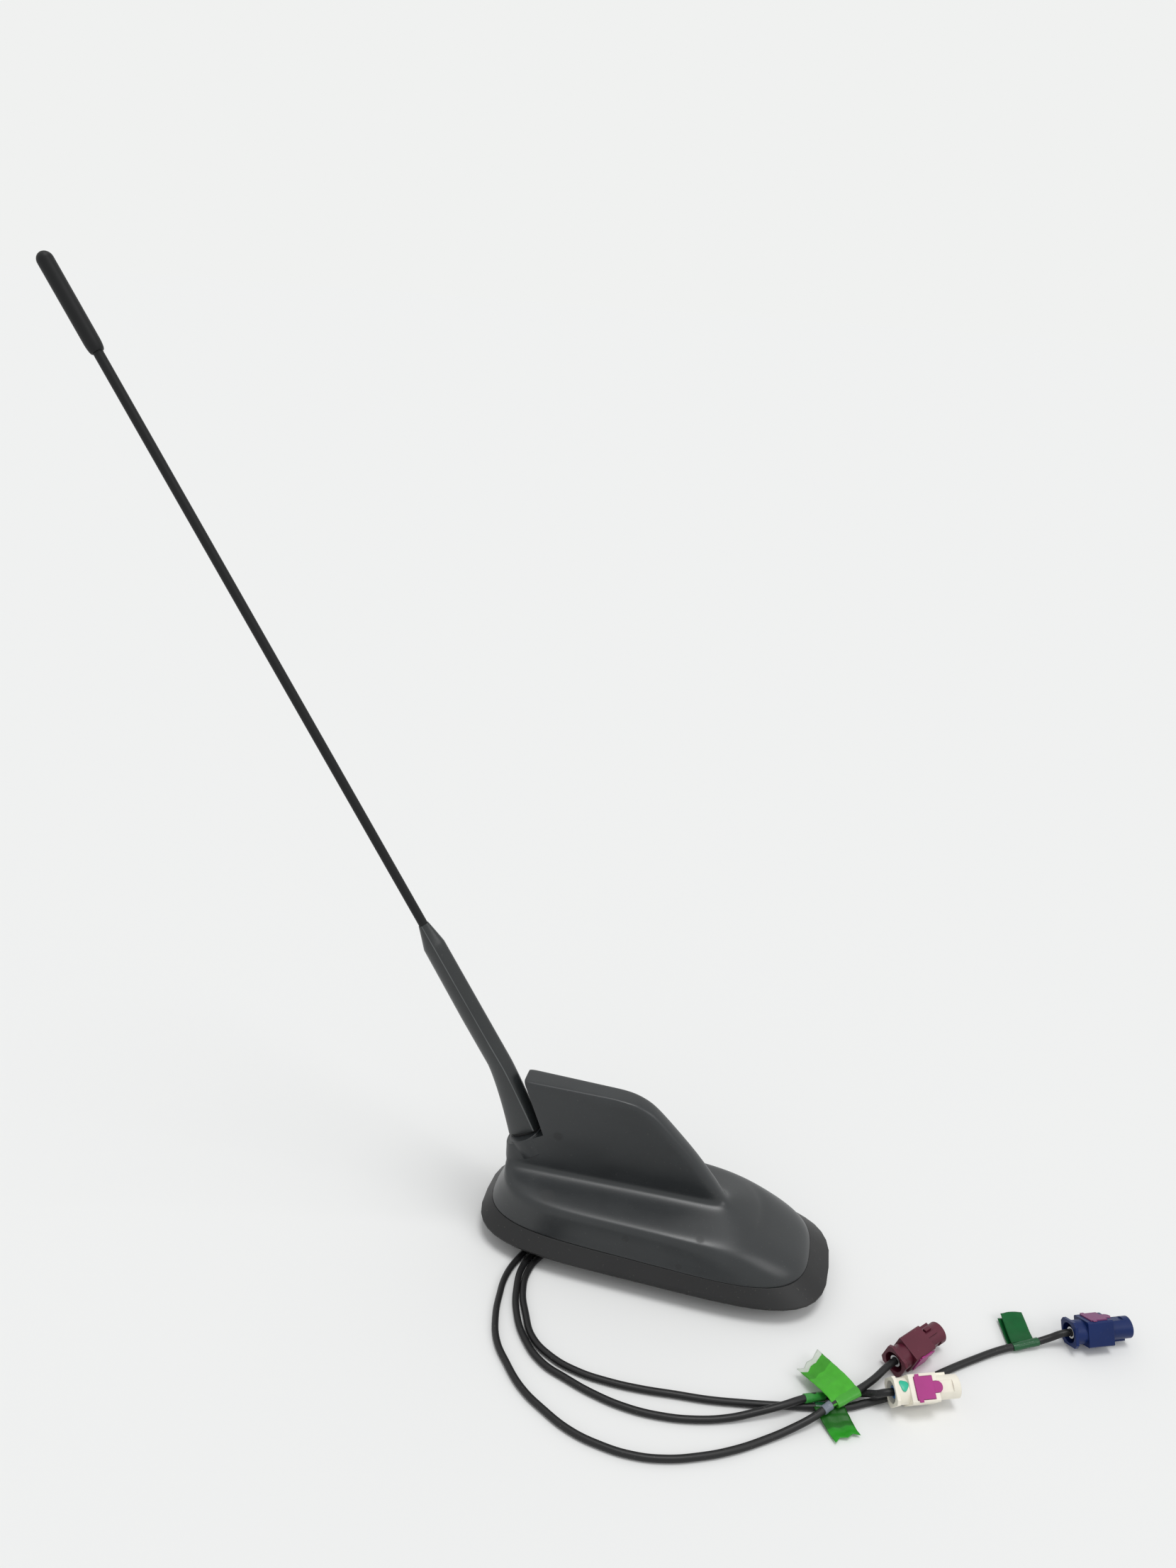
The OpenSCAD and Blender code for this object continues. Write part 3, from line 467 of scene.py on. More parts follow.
# %% A skin through rings
def skin(rings):
    """Extrude a circle's edge ring by ring, lay each vertex on its ring, and close both ends."""
    bm = bmesh.new()
    seat = bm.verts.layers.int.new("seat")
    count = len(rings[0])
    bmesh.ops.create_circle(bm, segments=count, radius=1)
    bm.verts.ensure_lookup_table()
    for i, vertex in enumerate(bm.verts):
        vertex[seat] = i
        vertex.co = rings[0][i]
    rim = list(bm.edges)
    bmesh.ops.contextual_create(bm, geom=rim)
    for ring in rings[1:]:
        grown = bmesh.ops.extrude_edge_only(bm, edges=rim)["geom"]
        for vertex in (g for g in grown if isinstance(g, bmesh.types.BMVert)):
            vertex.co = ring[vertex[seat]]
        rim = [g for g in grown if isinstance(g, bmesh.types.BMEdge) and g.is_boundary]
    bmesh.ops.contextual_create(bm, geom=rim)
    return bm


print("skin of a test tube:", len(skin([[Vector((math.cos(a), math.sin(a), z)) for a in range(6)]
                                        for z in range(3)]).faces), "faces")

# %% [markdown]
# ## The housing
# The housing is one moulding: a domed body, a roof that slopes up to the root of the fin, and the
# fin, which stands on it with soft fillets. A loft through level outlines suits it, because every
# level is the same blunt oval with its own length, width and taper. The control skin is coarse
# and a Subdivision Surface smooths it.

# %% Sizes of the housing, in millimetres
SPLIT_Z, COVER_L, COVER_W, COVER_MID = 14.8, 142.3, 56.2, -2.4
SHOULDER_H, ROOF_RISE, FIN_H, FIN_T = 14.5, 4.7, 43.8, 13.0
SPLIT_REAR, SPLIT_FRONT = COVER_MID - COVER_L / 2, COVER_MID + COVER_L / 2
SHOULDER_Z = SPLIT_Z + SHOULDER_H
ROOT_Z = SHOULDER_Z + ROOF_RISE
RAKE = math.radians(30.8)
SEAT_X, SEAT_Z, COLLAR_D = SPLIT_REAR + 12.75, 46.9, 16.8
FIN_FRONT, RIDGE_BACK = SEAT_X + 91.3, 58.5
BODY_ENDS, FIN_ENDS = (4.6, 2.75), (20.0, 2.3)
BODY_TAPER, ROOT_TAPER, OUTLINE_POINTS = 0.07, -0.3, 64
NOTCH_L, NOTCH_DROP, REAR_LEAN = 10.5, 0.9, math.tan(math.radians(22.6))
NOTCH_X = SEAT_X + NOTCH_L * math.cos(RAKE) + NOTCH_DROP * math.sin(RAKE)
NOTCH_Z = SEAT_Z + NOTCH_L * math.sin(RAKE) - NOTCH_DROP * math.cos(RAKE)
# Share of the shoulder's height, then how far the rear, front and sides have come in
BODY_ROWS = [(0, 0, 0, 0), (0.12, 0.7, 0.6, 0.25), (0.29, 1.7, 2.1, 0.7), (0.48, 2.8, 5.2, 1.05),
             (0.65, 3.8, 9.2, 1.4), (0.8, 4.5, 13.6, 1.75), (0.92, 4.9, 18, 2.3), (1, 5, 22.4, 3.3)]
# The insets and lifts that round the lower edge in, which leaves the dark line of the joint
LOWER_EDGE = [(0.4, 0.0), (0.14, 0.08), (0.02, 0.4)]
# How far the shoulder comes down in front, and where the whole drop is reached
FRONT_DROP, DROP_X = 3.2, 55
# Share of the way in from the shoulder to the root, and of the roof's rise
ROOF_ROWS = [(0.1, 0.14), (0.24, 0.26), (0.5, 0.45), (0.74, 0.6), (0.9, 0.75)]
# Share of the fin's height, the ridge's fall back, the thickness, and the taper
FIN_ROWS = [(0, 0, 1, -0.3), (0.05, 0.03, 0.98, -0.3), (0.137, 0.077, 0.96, -0.28),
            (0.274, 0.159, 0.93, -0.25), (0.434, 0.262, 0.89, -0.21), (0.594, 0.379, 0.85, -0.17),
            (0.731, 0.48, 0.81, -0.14), (0.82, 0.55, 0.78, -0.12), (0.885, 0.61, 0.77, -0.1),
            (0.928, 0.68, 0.755, -0.1), (0.95, 0.735, 0.735, -0.1), (0.963, 0.8, 0.69, -0.1),
            (0.97, 0.87, 0.6, -0.1), (0.972, 1, 0.42, -0.1)]
# The fin's low rows run back under the collar. The others pass the notch's rear cut by a spare
# length, which shrinks near the ridge so that the ridge's own corner stays
LOW_ROWS, CUT_SPARE, SPARE_RATE, RIDGE_SHARE = 0.3, 4, 60, 0.99
print("fin top at", round(ROOT_Z + FIN_H, 1), "mm")


# %% Outlines of the housing
def mix(a, b, t):
    return a + (b - a) * t


def oval_side(c, half_w, ends, taper):
    """Half width of a blunt oval at share c of its half length, from -1 to 1."""
    return max(0, 1 - abs(c) ** ends[0]) ** (1 / ends[1]) * half_w * (1 + taper * c)


def oval(rear, front, half_w, z, ends, taper):
    middle, half = (rear + front) / 2, (front - rear) / 2
    points = []
    for angle in (math.tau * i / OUTLINE_POINTS for i in range(OUTLINE_POINTS)):
        c = math.cos(angle)
        side = math.copysign(oval_side(c, half_w, ends, taper), math.sin(angle))
        points.append(Vector((middle + half * c, side, z)) * MM)
    return points


def fin_rear(z):
    return NOTCH_X - (z - NOTCH_Z) * REAR_LEAN


def lowered(ring, share):
    """The ring with its front part let down, as the shoulder falls towards the front."""
    for point in ring:
        point.z -= FRONT_DROP * share * max(0, point.x / (DROP_X * MM)) ** 2 * MM
    return ring


def housing_rings():
    rings = [oval(SPLIT_REAR + inset, SPLIT_FRONT - inset, COVER_W / 2 - inset, SPLIT_Z + lift,
                  BODY_ENDS, BODY_TAPER) for inset, lift in LOWER_EDGE]
    for share, rear, front, side in BODY_ROWS[1:]:
        ring = oval(SPLIT_REAR + rear, SPLIT_FRONT - front, COVER_W / 2 - side,
                    SPLIT_Z + SHOULDER_H * share, BODY_ENDS, BODY_TAPER * (1 - share))
        rings.append(lowered(ring, share))
    _, rear, front, side = BODY_ROWS[-1]
    for inward, rise in ROOF_ROWS:
        ends = (mix(BODY_ENDS[0], FIN_ENDS[0], inward * inward),
                mix(BODY_ENDS[1], FIN_ENDS[1], inward))
        ring = oval(SPLIT_REAR + rear, mix(SPLIT_FRONT - front, FIN_FRONT, inward),
                    mix(COVER_W / 2 - side, FIN_T / 2, inward), SHOULDER_Z + ROOF_RISE * rise,
                    ends, ROOT_TAPER * inward)
        rings.append(lowered(ring, 1 - inward))
    for share, back, thick, taper in FIN_ROWS:
        z = ROOT_Z + FIN_H * share
        rear = SEAT_X - COLLAR_D / 2
        if share >= LOW_ROWS:
            rear = fin_rear(z) - min(CUT_SPARE, (RIDGE_SHARE - share) * SPARE_RATE)
        front = FIN_FRONT - RIDGE_BACK * back
        rings.append(oval(rear, front, FIN_T / 2 * thick, z, FIN_ENDS, taper))
    return rings


print("housing rings:", len(housing_rings()))

# %% [markdown]
# ## The notch
# The mast's foot stands in a notch behind the fin, on a floor square to the raked mast. A wedge
# could be taken away with a boolean. Two plane cuts are chosen, because each step can then be
# seen: the faces between the planes go, and a floor and a rear wall close the two openings.

# %% The smooth skin and the notch
ON_PLANE = 2e-6


def smoothed(bm, levels):
    """The bmesh after a Subdivision Surface, as a new bmesh."""
    mesh = bpy.data.meshes.new("rough")
    bm.to_mesh(mesh)
    bm.free()
    rough = put("rough", mesh)
    finer = rough.modifiers.new("finer", "SUBSURF")
    finer.levels = finer.render_levels = levels
    smooth = bmesh.new()
    smooth.from_object(rough, bpy.context.evaluated_depsgraph_get())
    bpy.data.objects.remove(rough)
    bpy.data.meshes.remove(mesh)
    return smooth


seat_frame = Matrix.Translation(Vector((SEAT_X, 0, SEAT_Z)) * MM) @ Matrix.Rotation(-RAKE, 4, "Y")
seat_up = seat_frame.to_3x3() @ Vector((0, 0, 1))
seat_floor = seat_frame @ Vector((0, 0, -NOTCH_DROP * MM))
rear_way = Vector((1, 0, REAR_LEAN)).normalized()
rear_at = Vector((NOTCH_X, 0, NOTCH_Z)) * MM


def cut_notch(bm):
    for place, way in ((seat_floor, seat_up), (rear_at, rear_way)):
        bmesh.ops.bisect_plane(bm, geom=bm.verts[:] + bm.edges[:] + bm.faces[:], dist=1e-7,
                               plane_co=place, plane_no=way)
    gone = [f for f in bm.faces if (f.calc_center_median() - seat_floor).dot(seat_up) > 0
            and (f.calc_center_median() - rear_at).dot(rear_way) < 0]
    bmesh.ops.delete(bm, geom=gone, context="FACES")
    rim = [e for e in bm.edges if e.is_boundary]

    def on(vertex, place, way):
        return abs((vertex.co - place).dot(way)) < ON_PLANE

    corners = [v for v in {v for e in rim for v in e.verts}
               if on(v, seat_floor, seat_up) and on(v, rear_at, rear_way)]
    print("notch corners:", len(corners), "rim edges:", len(rim))
    across = bm.edges.new(corners[:2])
    for place, way in ((seat_floor, seat_up), (rear_at, rear_way)):
        loop = [e for e in rim if all(on(v, place, way) for v in e.verts)] + [across]
        bmesh.ops.contextual_create(bm, geom=loop)
    return bm


# %% The housing as one piece, with the collar under the mast's foot
COLLAR_H, COLLAR_EDGE = 9, 0.5
bm = cut_notch(smoothed(skin(housing_rings()), 2))
collar = bmesh.ops.create_cone(bm, cap_ends=True, segments=72, radius1=COLLAR_D / 2 * MM,
                               radius2=COLLAR_D / 2 * MM, depth=COLLAR_H * MM,
                               matrix=seat_frame @ Matrix.Translation((0, 0, -COLLAR_H / 2 * MM)))
top = max((f for v in collar["verts"] for f in v.link_faces),
          key=lambda f: f.calc_center_median().z if len(f.verts) > 4 else 0)
bevel(bm, list(top.edges), COLLAR_EDGE, segments=3)
place_piece("fin_housing", bm, housing, ["cover"], crease=28)

# %% [markdown]
# ## The gasket and the roof side
# The gasket is a soft skirt that flares from the split line to the roof. Its CAD node already has
# the right outline, pockets and holes, so a merged and smoothed copy stands for it. The casting,
# grommet and screws under it are dressed in the same way, with small rounded edges.
# The CAD skirt bulges like a quarter-round. The real one is a straight flare, so the copy's skirt
# vertices slide in along their own level until the profile is straight.

# %% The gasket's straight skirt
LIP_Z, FOOT_L, FOOT_W, FOOT_ENDS, FOOT_TAPER = 8.8, 155.5, 65.1, (4.5, 2.96), 0.02
OUTLINE_SLACK = 0.1  # how far a vertex may lie off the outline and still belong to it


def skirt_size(t):
    """Middle, half length, half width, ends and taper, from the foot (0) to the split line (1)."""
    ends = (mix(FOOT_ENDS[0], BODY_ENDS[0], t), mix(FOOT_ENDS[1], BODY_ENDS[1], t))
    return (mix(0, COVER_MID, t), mix(FOOT_L, COVER_L, t) / 2, mix(FOOT_W, COVER_W, t) / 2, ends,
            mix(FOOT_TAPER, BODY_TAPER, t))


def straighten_skirt(bm):
    moved = 0
    for vertex in bm.verts:
        x, y, z = vertex.co / MM
        rise = (z - LIP_Z) / (SPLIT_Z - LIP_Z)
        if not 0.01 < rise < 0.99:
            continue
        middle, half_l, half_w, ends, taper = skirt_size(1 - math.cos(math.asin(rise)))
        c = max(-1, min(1, (x - middle) / half_l))
        off = abs(abs(y) - oval_side(c, half_w, ends, taper))
        if off > OUTLINE_SLACK and abs(c) < 0.999:
            continue
        middle, half_l, half_w, ends, taper = skirt_size(rise)
        side = math.copysign(oval_side(c, half_w, ends, taper), y) if abs(c) < 0.9999 else 0
        vertex.co = Vector((middle + half_l * c, side, z)) * MM
        moved += 1
    print("skirt vertices moved:", moved)


bm = from_node("base_gasket")
straighten_skirt(bm)
place_piece("straight_gasket", bm, gasket, ["base_gasket"], crease=40, outwards=False)


# %% Base plate, grommet and screws
finished_node("base_plate", casting, 0.25)
finished_node("cable_grommet", seal_rubber, 0.3)
finished_node("cover_screws", plated, 0.15)

# %% [markdown]
# ## The mast
# The sleeve is half an oval at the back and comes to a blunt nose in front. The two meet at a
# crest on each side, which shows as a thin bright line. Its back sweeps out to a longer foot.
# It is a skin through sections across the mast's own axis. The crests are bevelled edges, because
# a sharp edge catches no light.

# %% Sections of the sleeve
ROD_OFFSET, SEAL_T, SLEEVE_L = 6.28, 1.0, 106.0
TAPER_H, TOP_HALF_W, SLEEVE_HALF_W = 10.5, 2.25, 4.5
REAR_STEPS, FRONT_STEPS = 24, 10
FOOT_SWEEP, NOSE_POWER = 8.6, 1.45
# Depth behind and before the rod's axis. The back thins from a height on, at this rate
REAR_DEPTH, THINS_FROM, THINNING = 6.3, 60, 0.02
NOSE_DEPTH, NOSE_CUT, TOP_NOSE = 4.7, 2.9, TOP_HALF_W + 0.2
# The height and power of the curve in the foot's back and in its nose
SWEEP_CURVE, NOSE_CURVE = (36, 1.3), (34, 1.25)
# How far the crests lie behind the nose at the foot, and from a height on
CREST_LOW, CREST_HIGH, CREST_H = 2.3, 3.1, 45


def eased(s, height, power):
    return max(0, 1 - s / height) ** power


def sleeve_section(s):
    t = max(0, (s - SLEEVE_L + TAPER_H) / TAPER_H)
    rear = mix(REAR_DEPTH - max(0, s - THINS_FROM) * THINNING, TOP_HALF_W, t)
    rear += FOOT_SWEEP * eased(s, *SWEEP_CURVE)
    nose = mix(NOSE_DEPTH, TOP_NOSE, t) - NOSE_CUT * eased(s, *NOSE_CURVE)
    crest_back = mix(mix(CREST_LOW, CREST_HIGH, min(1, s / CREST_H)), TOP_NOSE, t)
    crest_x = ROD_OFFSET + nose - crest_back
    half_w = mix(SLEEVE_HALF_W, TOP_HALF_W, t)
    power = mix(NOSE_POWER, 2, t)
    points = []
    for i in range(REAR_STEPS + 1):
        a = math.pi * i / REAR_STEPS
        points.append((crest_x - (rear + nose - crest_back) * math.sin(a), half_w * math.cos(a)))
    for i in range(1, FRONT_STEPS):
        y = -1 + 2 * i / FRONT_STEPS
        points.append((crest_x + crest_back * (1 - abs(y) ** power), half_w * y))
    return [seat_frame @ (Vector((x, y, s + SEAL_T)) * MM) for x, y in points]


levels = [0, 0.3] + [3 * i for i in range(1, 31)]
levels += [93.5, 95.5, 96.8, 98.5, 100.5, 102.5, 104.5, 105.7, SLEEVE_L]
print("sleeve sections:", len(levels))

# %% The sleeve's skin, with bevelled crests
CRESTS, CREST_EDGE = (0, REAR_STEPS), 0.25
bm = skin([sleeve_section(s) for s in levels])
seat = bm.verts.layers.int["seat"]
# The crest vertices are marked, and the sleeve's finish paints a lighter line on them: a painted
# highlight.
crest = bm.verts.layers.float.new("crest")
for vertex in bm.verts:
    vertex[crest] = 1.0 if vertex[seat] in CRESTS else 0.0
bevel(bm, [e for e in bm.edges if e.verts[0][seat] == e.verts[1][seat]
           and e.verts[0][seat] in CRESTS], CREST_EDGE)
place_piece("sleeve_skin", bm, sleeve, ["mast_sleeve"], crease=50)

# %% [markdown]
# ## Rod and cap
# A slim covered rod runs up out of the sleeve and ends in a long cap like a thimble. The cap is a
# turned shape, so its half profile is spun round the rod's axis. The ends of the profile lie on
# the axis, and the doubles that the spin leaves there are merged. The rod is a plain cylinder,
# whose ends are hidden in the sleeve and in the cap.

# %% Cap by spinning
CAP_LOW, CAP_L, CAP_R, ROD_R = 359.0, 38.0, 3.15, 1.95
CAP_HOLLOW, CAP_LIP, CAP_FLARE = 0.2, 0.35, 4.5
quarter = [math.radians(9 * i) for i in range(11)]
profile = [(0, CAP_LOW + CAP_HOLLOW), (ROD_R, CAP_LOW)]
profile += [(mix(ROD_R + CAP_LIP, CAP_R, math.sin(a)), CAP_LOW + CAP_FLARE * (1 - math.cos(a)))
            for a in quarter]
profile += [(CAP_R * math.cos(a), CAP_LOW + CAP_L - CAP_R + CAP_R * math.sin(a)) for a in quarter]
bm = bmesh.new()
line = [bm.verts.new(Vector((r, 0, z)) * MM) for r, z in profile]
for a, b in zip(line, line[1:]):
    bm.edges.new((a, b))
bmesh.ops.spin(bm, geom=bm.verts[:] + bm.edges[:], cent=(0, 0, 0), axis=(0, 0, 1), dvec=(0, 0, 0),
               angle=math.tau, steps=40, use_merge=True, use_duplicate=False)
rod_frame = seat_frame @ Matrix.Translation((ROD_OFFSET * MM, 0, 0))
bmesh.ops.transform(bm, matrix=rod_frame, verts=bm.verts)
place_piece("tip_cap", bm, rod_skin, ["mast_tip_cap"], crease=40)

# %% Rod and foot seal
ROD_LOW, ROD_HIGH = 33, 379
rod_middle = rod_frame @ Matrix.Translation((0, 0, (ROD_LOW + ROD_HIGH) / 2 * MM))
bm = bmesh.new()
bmesh.ops.create_cone(bm, cap_ends=True, segments=40, radius1=ROD_R * MM, radius2=ROD_R * MM,
                      depth=(ROD_HIGH - ROD_LOW) * MM, matrix=rod_middle)
place_piece("whip_rod", bm, rod_skin, ["mast_rod"])
finished_node("foot_seal", seal_rubber, 0.2)

# %% [markdown]
# ## The connectors
# Each lead ends in a coded connector: a square flange, a round neck, a square body with a bright
# lock pressed into it, and a round barrel. The CAD nodes have these forms with dead-sharp edges.
# Merged copies with a small bevel look moulded. The springy leads hold the plugs rolled a little
# on the table, so every copy of a plug's pieces turns by the same matrix.

# %% How each plug lies
def plug_turn(lead):
    rear, _, roll, rise = PLUGS[lead]
    rear = Vector(rear) * MM
    return (Matrix.Translation(rear + Vector((0, 0, rise * MM)))
            @ Matrix.Rotation(math.radians(roll), 4, heading(lead)) @ Matrix.Translation(-rear))


print("rolled by", {lead: plug[2] for lead, plug in PLUGS.items()}, "degrees")

# %% Connectors with all their pieces
bodies = {"phone": (bordeaux, "bordeaux_plastic"), "radio": (ivory, "ivory_plastic"),
          "satnav": (blue, "blue_plastic")}
locks = {"phone": magenta, "radio": magenta, "satnav": dusky}
ferrules = {"phone": plated, "radio": blue_ferrule, "satnav": plated}
plug_pieces = {}
for lead, (finish, slot) in bodies.items():
    turn = plug_turn(lead)
    plug_pieces[lead] = [
        finished_node(f"{lead}_connector", finish, 0.16, turn),
        finished_node(f"{lead}_lock", locks[lead], 0.12, turn),
        finished_node(f"{lead}_ferrule", ferrules[lead], 0.08, turn),
        finished_node(f"{lead}_outer_contact", brass, 0.0, turn),
        finished_node(f"{lead}_insulator", white_plastic, 0.0, turn),
        finished_node(f"{lead}_pin", brass, 0.0, turn),
    ]
    print(lead, "plug:", len(plug_pieces[lead]), "pieces")

# %% [markdown]
# ## Two details on the connectors
# The ivory connector has a daub of teal paint on its neck, and the bordeaux one has a small catch
# on its barrel. Paint could be a stain in the finish, but this daub is thick enough to show an
# edge. It is a flattened sphere with a wavy rim that sags over the round neck. The catch is a
# cube with rounded edges. Both start at the origin, and a frame on the connector's side moves
# them to their place.

# %% A frame on a connector's side
def on_plug(lead, along, angle, out):
    """A frame on a plug's side: +Z points out, +X runs to the mating end."""
    rear, _, _, rise = PLUGS[lead]
    way = heading(lead)
    outward = Matrix.Rotation(math.radians(angle), 3, way) @ Vector((0, 0, 1))
    centre = (Vector(rear) + Vector((0, 0, rise)) + way * along + outward * out) * MM
    turn = Matrix((way, outward.cross(way), outward)).transposed()
    return Matrix.Translation(centre) @ turn.to_4x4()


daub_frame = on_plug("radio", 4.0, 14.0, 4.72)
catch_frame = on_plug("phone", 20.4, -14.0, 4.4)
print("daub at", [round(v, 4) for v in daub_frame.translation])

# %% The daub and the catch
DAUB_L, DAUB_W, DAUB_T, DAUB_SAG, DAUB_WAVE = 1.75, 2.1, 0.22, 0.11, 0.12
CATCH_SIZE, CATCH_EDGE = (3.2, 1.8, 1.6), 0.25
bm = bmesh.new()
bmesh.ops.create_uvsphere(bm, u_segments=28, v_segments=14, radius=MM)
for vertex in bm.verts:
    x, y, z = vertex.co / MM
    ragged = 1 + DAUB_WAVE * math.sin(3 * math.atan2(y, x) + 0.8)
    vertex.co = Vector((DAUB_L * x * ragged, DAUB_W * y * ragged,
                        DAUB_T * z - DAUB_SAG * y * y * DAUB_W)) * MM
bmesh.ops.transform(bm, matrix=daub_frame, verts=bm.verts)
plug_pieces["radio"].append(place_piece("paint_daub", bm, teal_paint, crease=60))

bm = bmesh.new()
bmesh.ops.create_cube(bm, size=MM)
bmesh.ops.scale(bm, vec=CATCH_SIZE, verts=bm.verts)
bevel(bm, bm.edges[:], CATCH_EDGE)
bmesh.ops.transform(bm, matrix=catch_frame, verts=bm.verts)
plug_pieces["phone"].append(place_piece("barrel_catch", bm, bordeaux))

# %% [markdown]
# ## The tapes
# A tape is a flag of thin film that starts on a lead and is folded round it. The flag is a grid
# whose rows run from the fold to the torn end, with a slow curl, and a Solidify modifier gives it
# its thickness. The fold is a flattened tube round the lead.

# %% A flag of film
FILM_T = 0.12


def flag(name, near, far, heights, finish, replaces=(), torn=(), wave=0.0):
    """near and far are the left and right corners, heights the levels from fold to end, in mm."""
    bm = bmesh.new()
    bm.loops.layers.uv.new("UVMap")
    bmesh.ops.create_grid(bm, x_segments=16, y_segments=28, size=0.5, calc_uvs=True)
    for vertex in bm.verts:
        u, v = vertex.co.x + 0.5, vertex.co.y + 0.5
        start = Vector(near[0]).lerp(Vector(near[1]), u)
        end = Vector(far[0]).lerp(Vector(far[1]), u)
        if torn:
            spot = u * (len(torn) - 1)
            i = min(int(spot), len(torn) - 2)
            end = end + (end - start).normalized() * mix(torn[i], torn[i + 1], spot - i)
        step = v * (len(heights) - 1)
        j = min(int(step), len(heights) - 2)
        t = step - j
        height = mix(heights[j], heights[j + 1], t * t * (3 - 2 * t))
        height += wave * math.sin(6 * u + 4 * v) * v
        place = start.lerp(end, v)
        vertex.co = Vector((place.x, place.y, height)) * MM
    made = place_piece(name, bm, finish, replaces, crease=60, outwards=False)
    made.modifiers.remove(made.modifiers["flat_faces"])
    sheet = made.modifiers.new("film", "SOLIDIFY")
    sheet.thickness, sheet.offset = FILM_T * MM, 0
    return made


print("film thickness", FILM_T, "mm")


# %% A fold round a lead
FOLD_POINTS = 24


def fold(name, a, b, finish, replaces, wide, high):
    """A flattened tube of film round a lead, from a to b, with its half width and half height."""
    a, b = Vector(a), Vector(b)
    way = (b - a).normalized()
    side = Vector((0, 0, 1)).cross(way).normalized()
    up = way.cross(side)
    rings = []
    for t in (0, 0.02, 0.25, 0.5, 0.75, 0.98, 1):
        swell = 0.9 if t in (0, 1) else 1 + 0.04 * math.sin(9 * t)
        middle = a.lerp(b, t)
        rings.append([(middle + side * wide * swell * math.cos(q)
                       + up * high * swell * math.sin(q)) * MM
                      for q in (math.tau * i / FOLD_POINTS for i in range(FOLD_POINTS))])
    return place_piece(name, skin(rings), finish, replaces, crease=40)


# %% The tapes on each lead
phone_films = [
    fold("light_fold", (84, -64.03, 5.2), (92.3, -55.98, 5.25), wrap_film,
         ["phone_tape"], 2.5, 1.65),
    flag("light_flag", ((83.7, -66.6), (92.9, -57.2)), ((69.5, -53.0), (77.0, -41.3)),
         (6.0, 7.15, 6.9, 6.2, 5.5, 4.8, 4.4), light_film,
         torn=(1.2, -0.6, 0.5, -0.4, 0.6, 1.4), wave=0.25),
    fold("milky_fold", (79.9, -68.5, 4.7), (82.6, -65.4, 5.1), clear_wrap,
         (), 1.7, 1.62),
]
radio_films = [fold("dark_fold", (72.5, -65.0, 4.3), (80, -59.62, 1.98), radio_wrap,
                    ["radio_tape"], 1.75, 1.65)]
satnav_films = [
    fold("near_fold", (77, -65.02, 1.5), (87.4, -62.17, 1.5), dark_wrap,
         ["satnav_tape_near"], 1.7, 1.48),
    flag("near_flag", ((76.4, -66.3), (88.1, -62.9)), ((85.2, -77.4), (94.3, -71.7)),
         (2.9, 2.2, 1.4, 1.0, 1.6), near_film,
         torn=(0.8, -0.7, 0.4, -0.5, 0.6), wave=0.3),
    fold("far_fold", (154.6, -13.14, 1.95), (165, -7.94, 3.0), dark_wrap,
         ["satnav_tape_far"], 1.65, 1.55),
    flag("far_flag", ((153.8, -12.6), (162.9, -8.0)), ((150.6, 2.4), (159.5, 5.6)),
         (3.6, 3.2, 3.3, 3.4), dark_film, torn=(-0.3, 0.3, 0.1, -0.1), wave=0.2),
    flag("far_flag_back", ((153.2, -13.0), (162, -8.8)), ((149.8, 0.6), (158.4, 4.0)),
         (1.2, 1.0, 1.2, 1.6), dark_film, torn=(0.3, 0, 0.2), wave=0.1),
]

# %% [markdown]
# ## The leads' jacket
# With the pieces made, each lead gets its finish.

for lead, (lead_object, length) in leads.items():
    lead_object.data.materials.append(jacket.material)
    lead_points(lead)[0]

# %% [markdown]
# ## The pieces inside
# The board, its can and the contacts are closed in by the housing. They keep their CAD shape and
# get a finish each, so that an opened copy of the part still looks right.

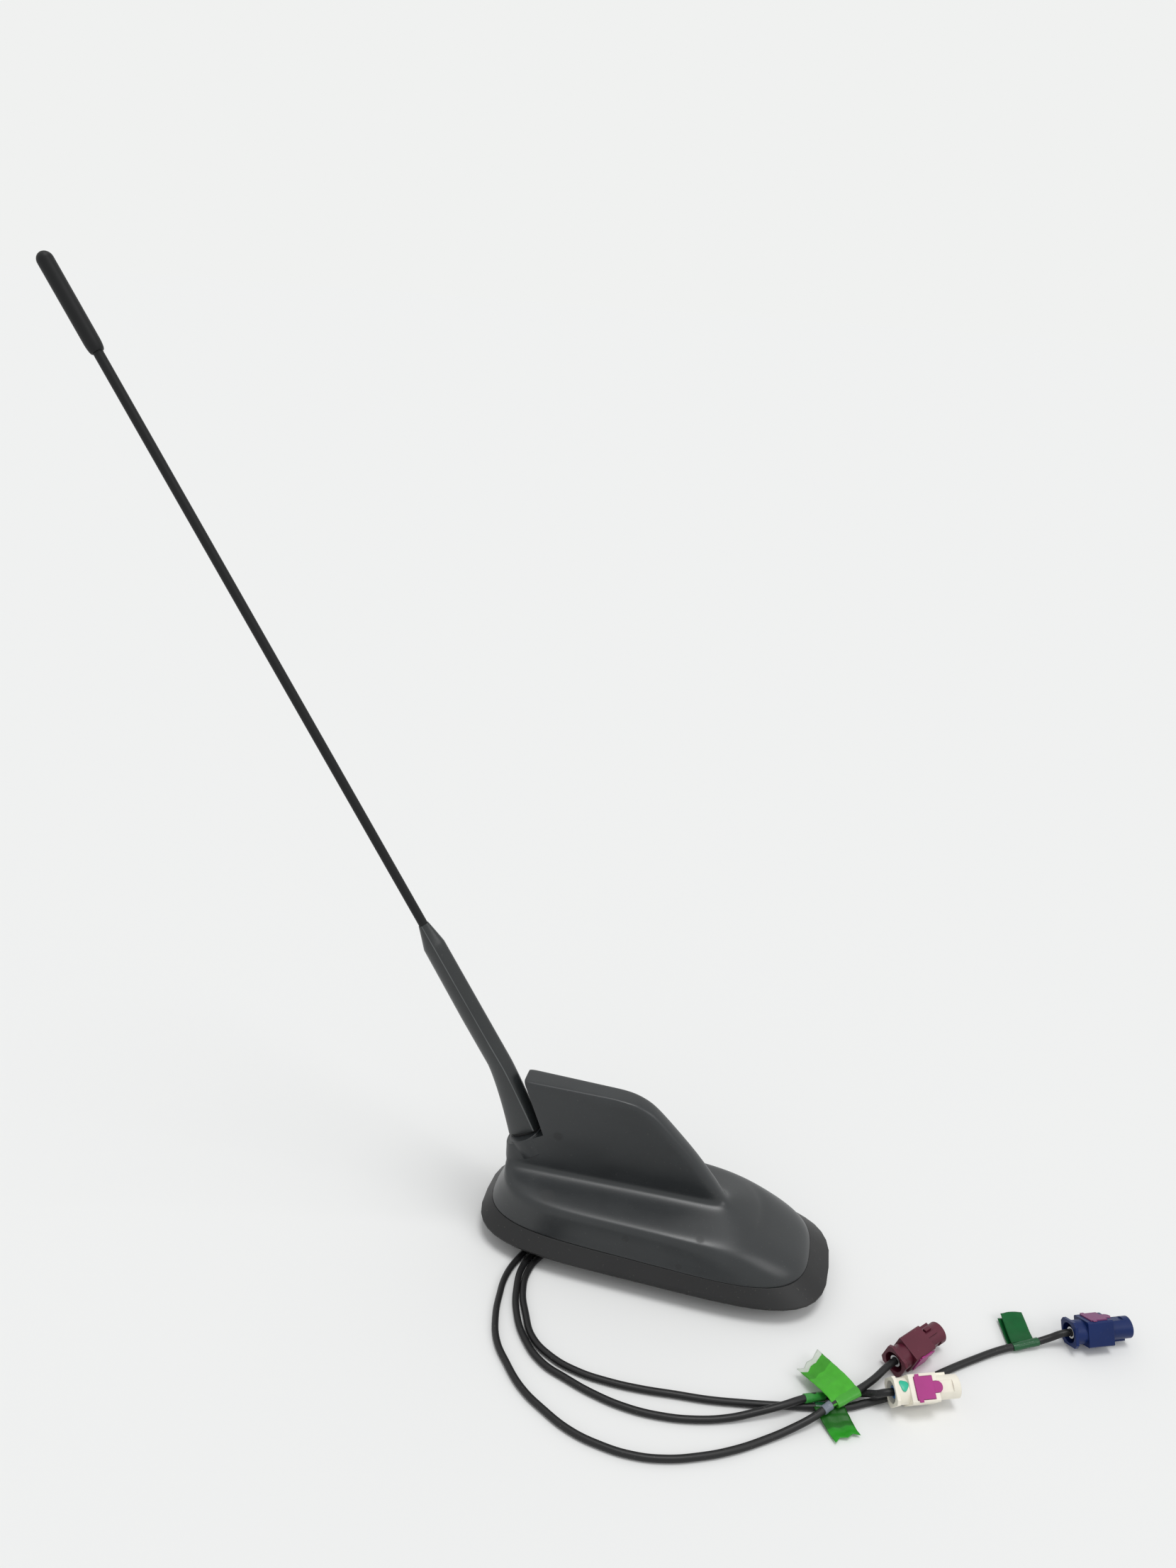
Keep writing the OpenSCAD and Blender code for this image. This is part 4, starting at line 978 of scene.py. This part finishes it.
# %% Dress the inner nodes
inner_finishes = {
    "cover_seal": seal_rubber, "board_screws": plated, "circuit_board": board,
    "shield_can": plated, "satnav_patch": ceramic, "phone_element": copper,
    "seat_bush": brass, "mast_insert": plated, "mast_nut": plated, "contact_spring": brass}
for node, finish in inner_finishes.items():
    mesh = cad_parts[node].data
    mesh.materials.clear()
    mesh.materials.append(finish.material)
print("inner nodes dressed:", len(inner_finishes))

# %% [markdown]
# ## The table and the light
# The photograph is a pale sweep under soft daylight. A wide sun lamp overhead gives a soft light of
# even level everywhere, and a weaker one from the front lights the dome. The world fills the
# shade, and together they show a white table as white. To the camera, in reflections and through
# clear film the world looks as pale as the table.

# %% Table
BACKDROP = srgb(240, 241, 240)
TABLE_REACH = 30  # metres from the middle, far enough to reach the horizon of the side views
bm = bmesh.new()
bmesh.ops.create_grid(bm, x_segments=1, y_segments=1, size=TABLE_REACH)
mesh = bpy.data.meshes.new("table")
bm.to_mesh(mesh)
bm.free()
table = put("table", mesh)
paper = Finish("table_paper")
paper.dress(base_color=BACKDROP, roughness=0.9, specular_ior_level=0.0)
mesh.materials.append(paper.material)
print("table reaches", TABLE_REACH, "m")

# %% Suns
def hang_sun(name, strength, width, towards):
    """A sun lamp in that direction, with its strength and its width in degrees."""
    sun = bpy.data.lights.new(name, "SUN")
    sun.energy = strength
    sun.angle = math.radians(width)
    lamp = put(name, sun)
    lamp.rotation_euler = (-Vector(towards)).to_track_quat("-Z", "Y").to_euler()
    print(name, "strength", strength)


hang_sun("overhead_daylight", 1.1, 24, (0.1, -0.04, 1))
hang_sun("front_window", 0.42, 30, (0.8, -0.25, 0.75))

# %% World
ROOM_SHADE = (0.562, 0.562, 0.567, 1)
world = bpy.data.worlds.new("pale_room")
world.use_nodes = True
bpy.context.scene.world = world
room = Finish("room", world.node_tree)
rays = room.node("ShaderNodeLightPath").socket.node.outputs
seen = (Wire(room, rays["Is Camera Ray"]) + Wire(room, rays["Is Transmission Ray"])
        + Wire(room, rays["Is Glossy Ray"]))
colour = room.blend(seen, ROOM_SHADE, BACKDROP)
room.feed(world.node_tree.nodes["Background"].inputs["Color"], colour)
bpy.context.scene.view_settings.view_transform = "Standard"
print("room shade", ROOM_SHADE[:3])
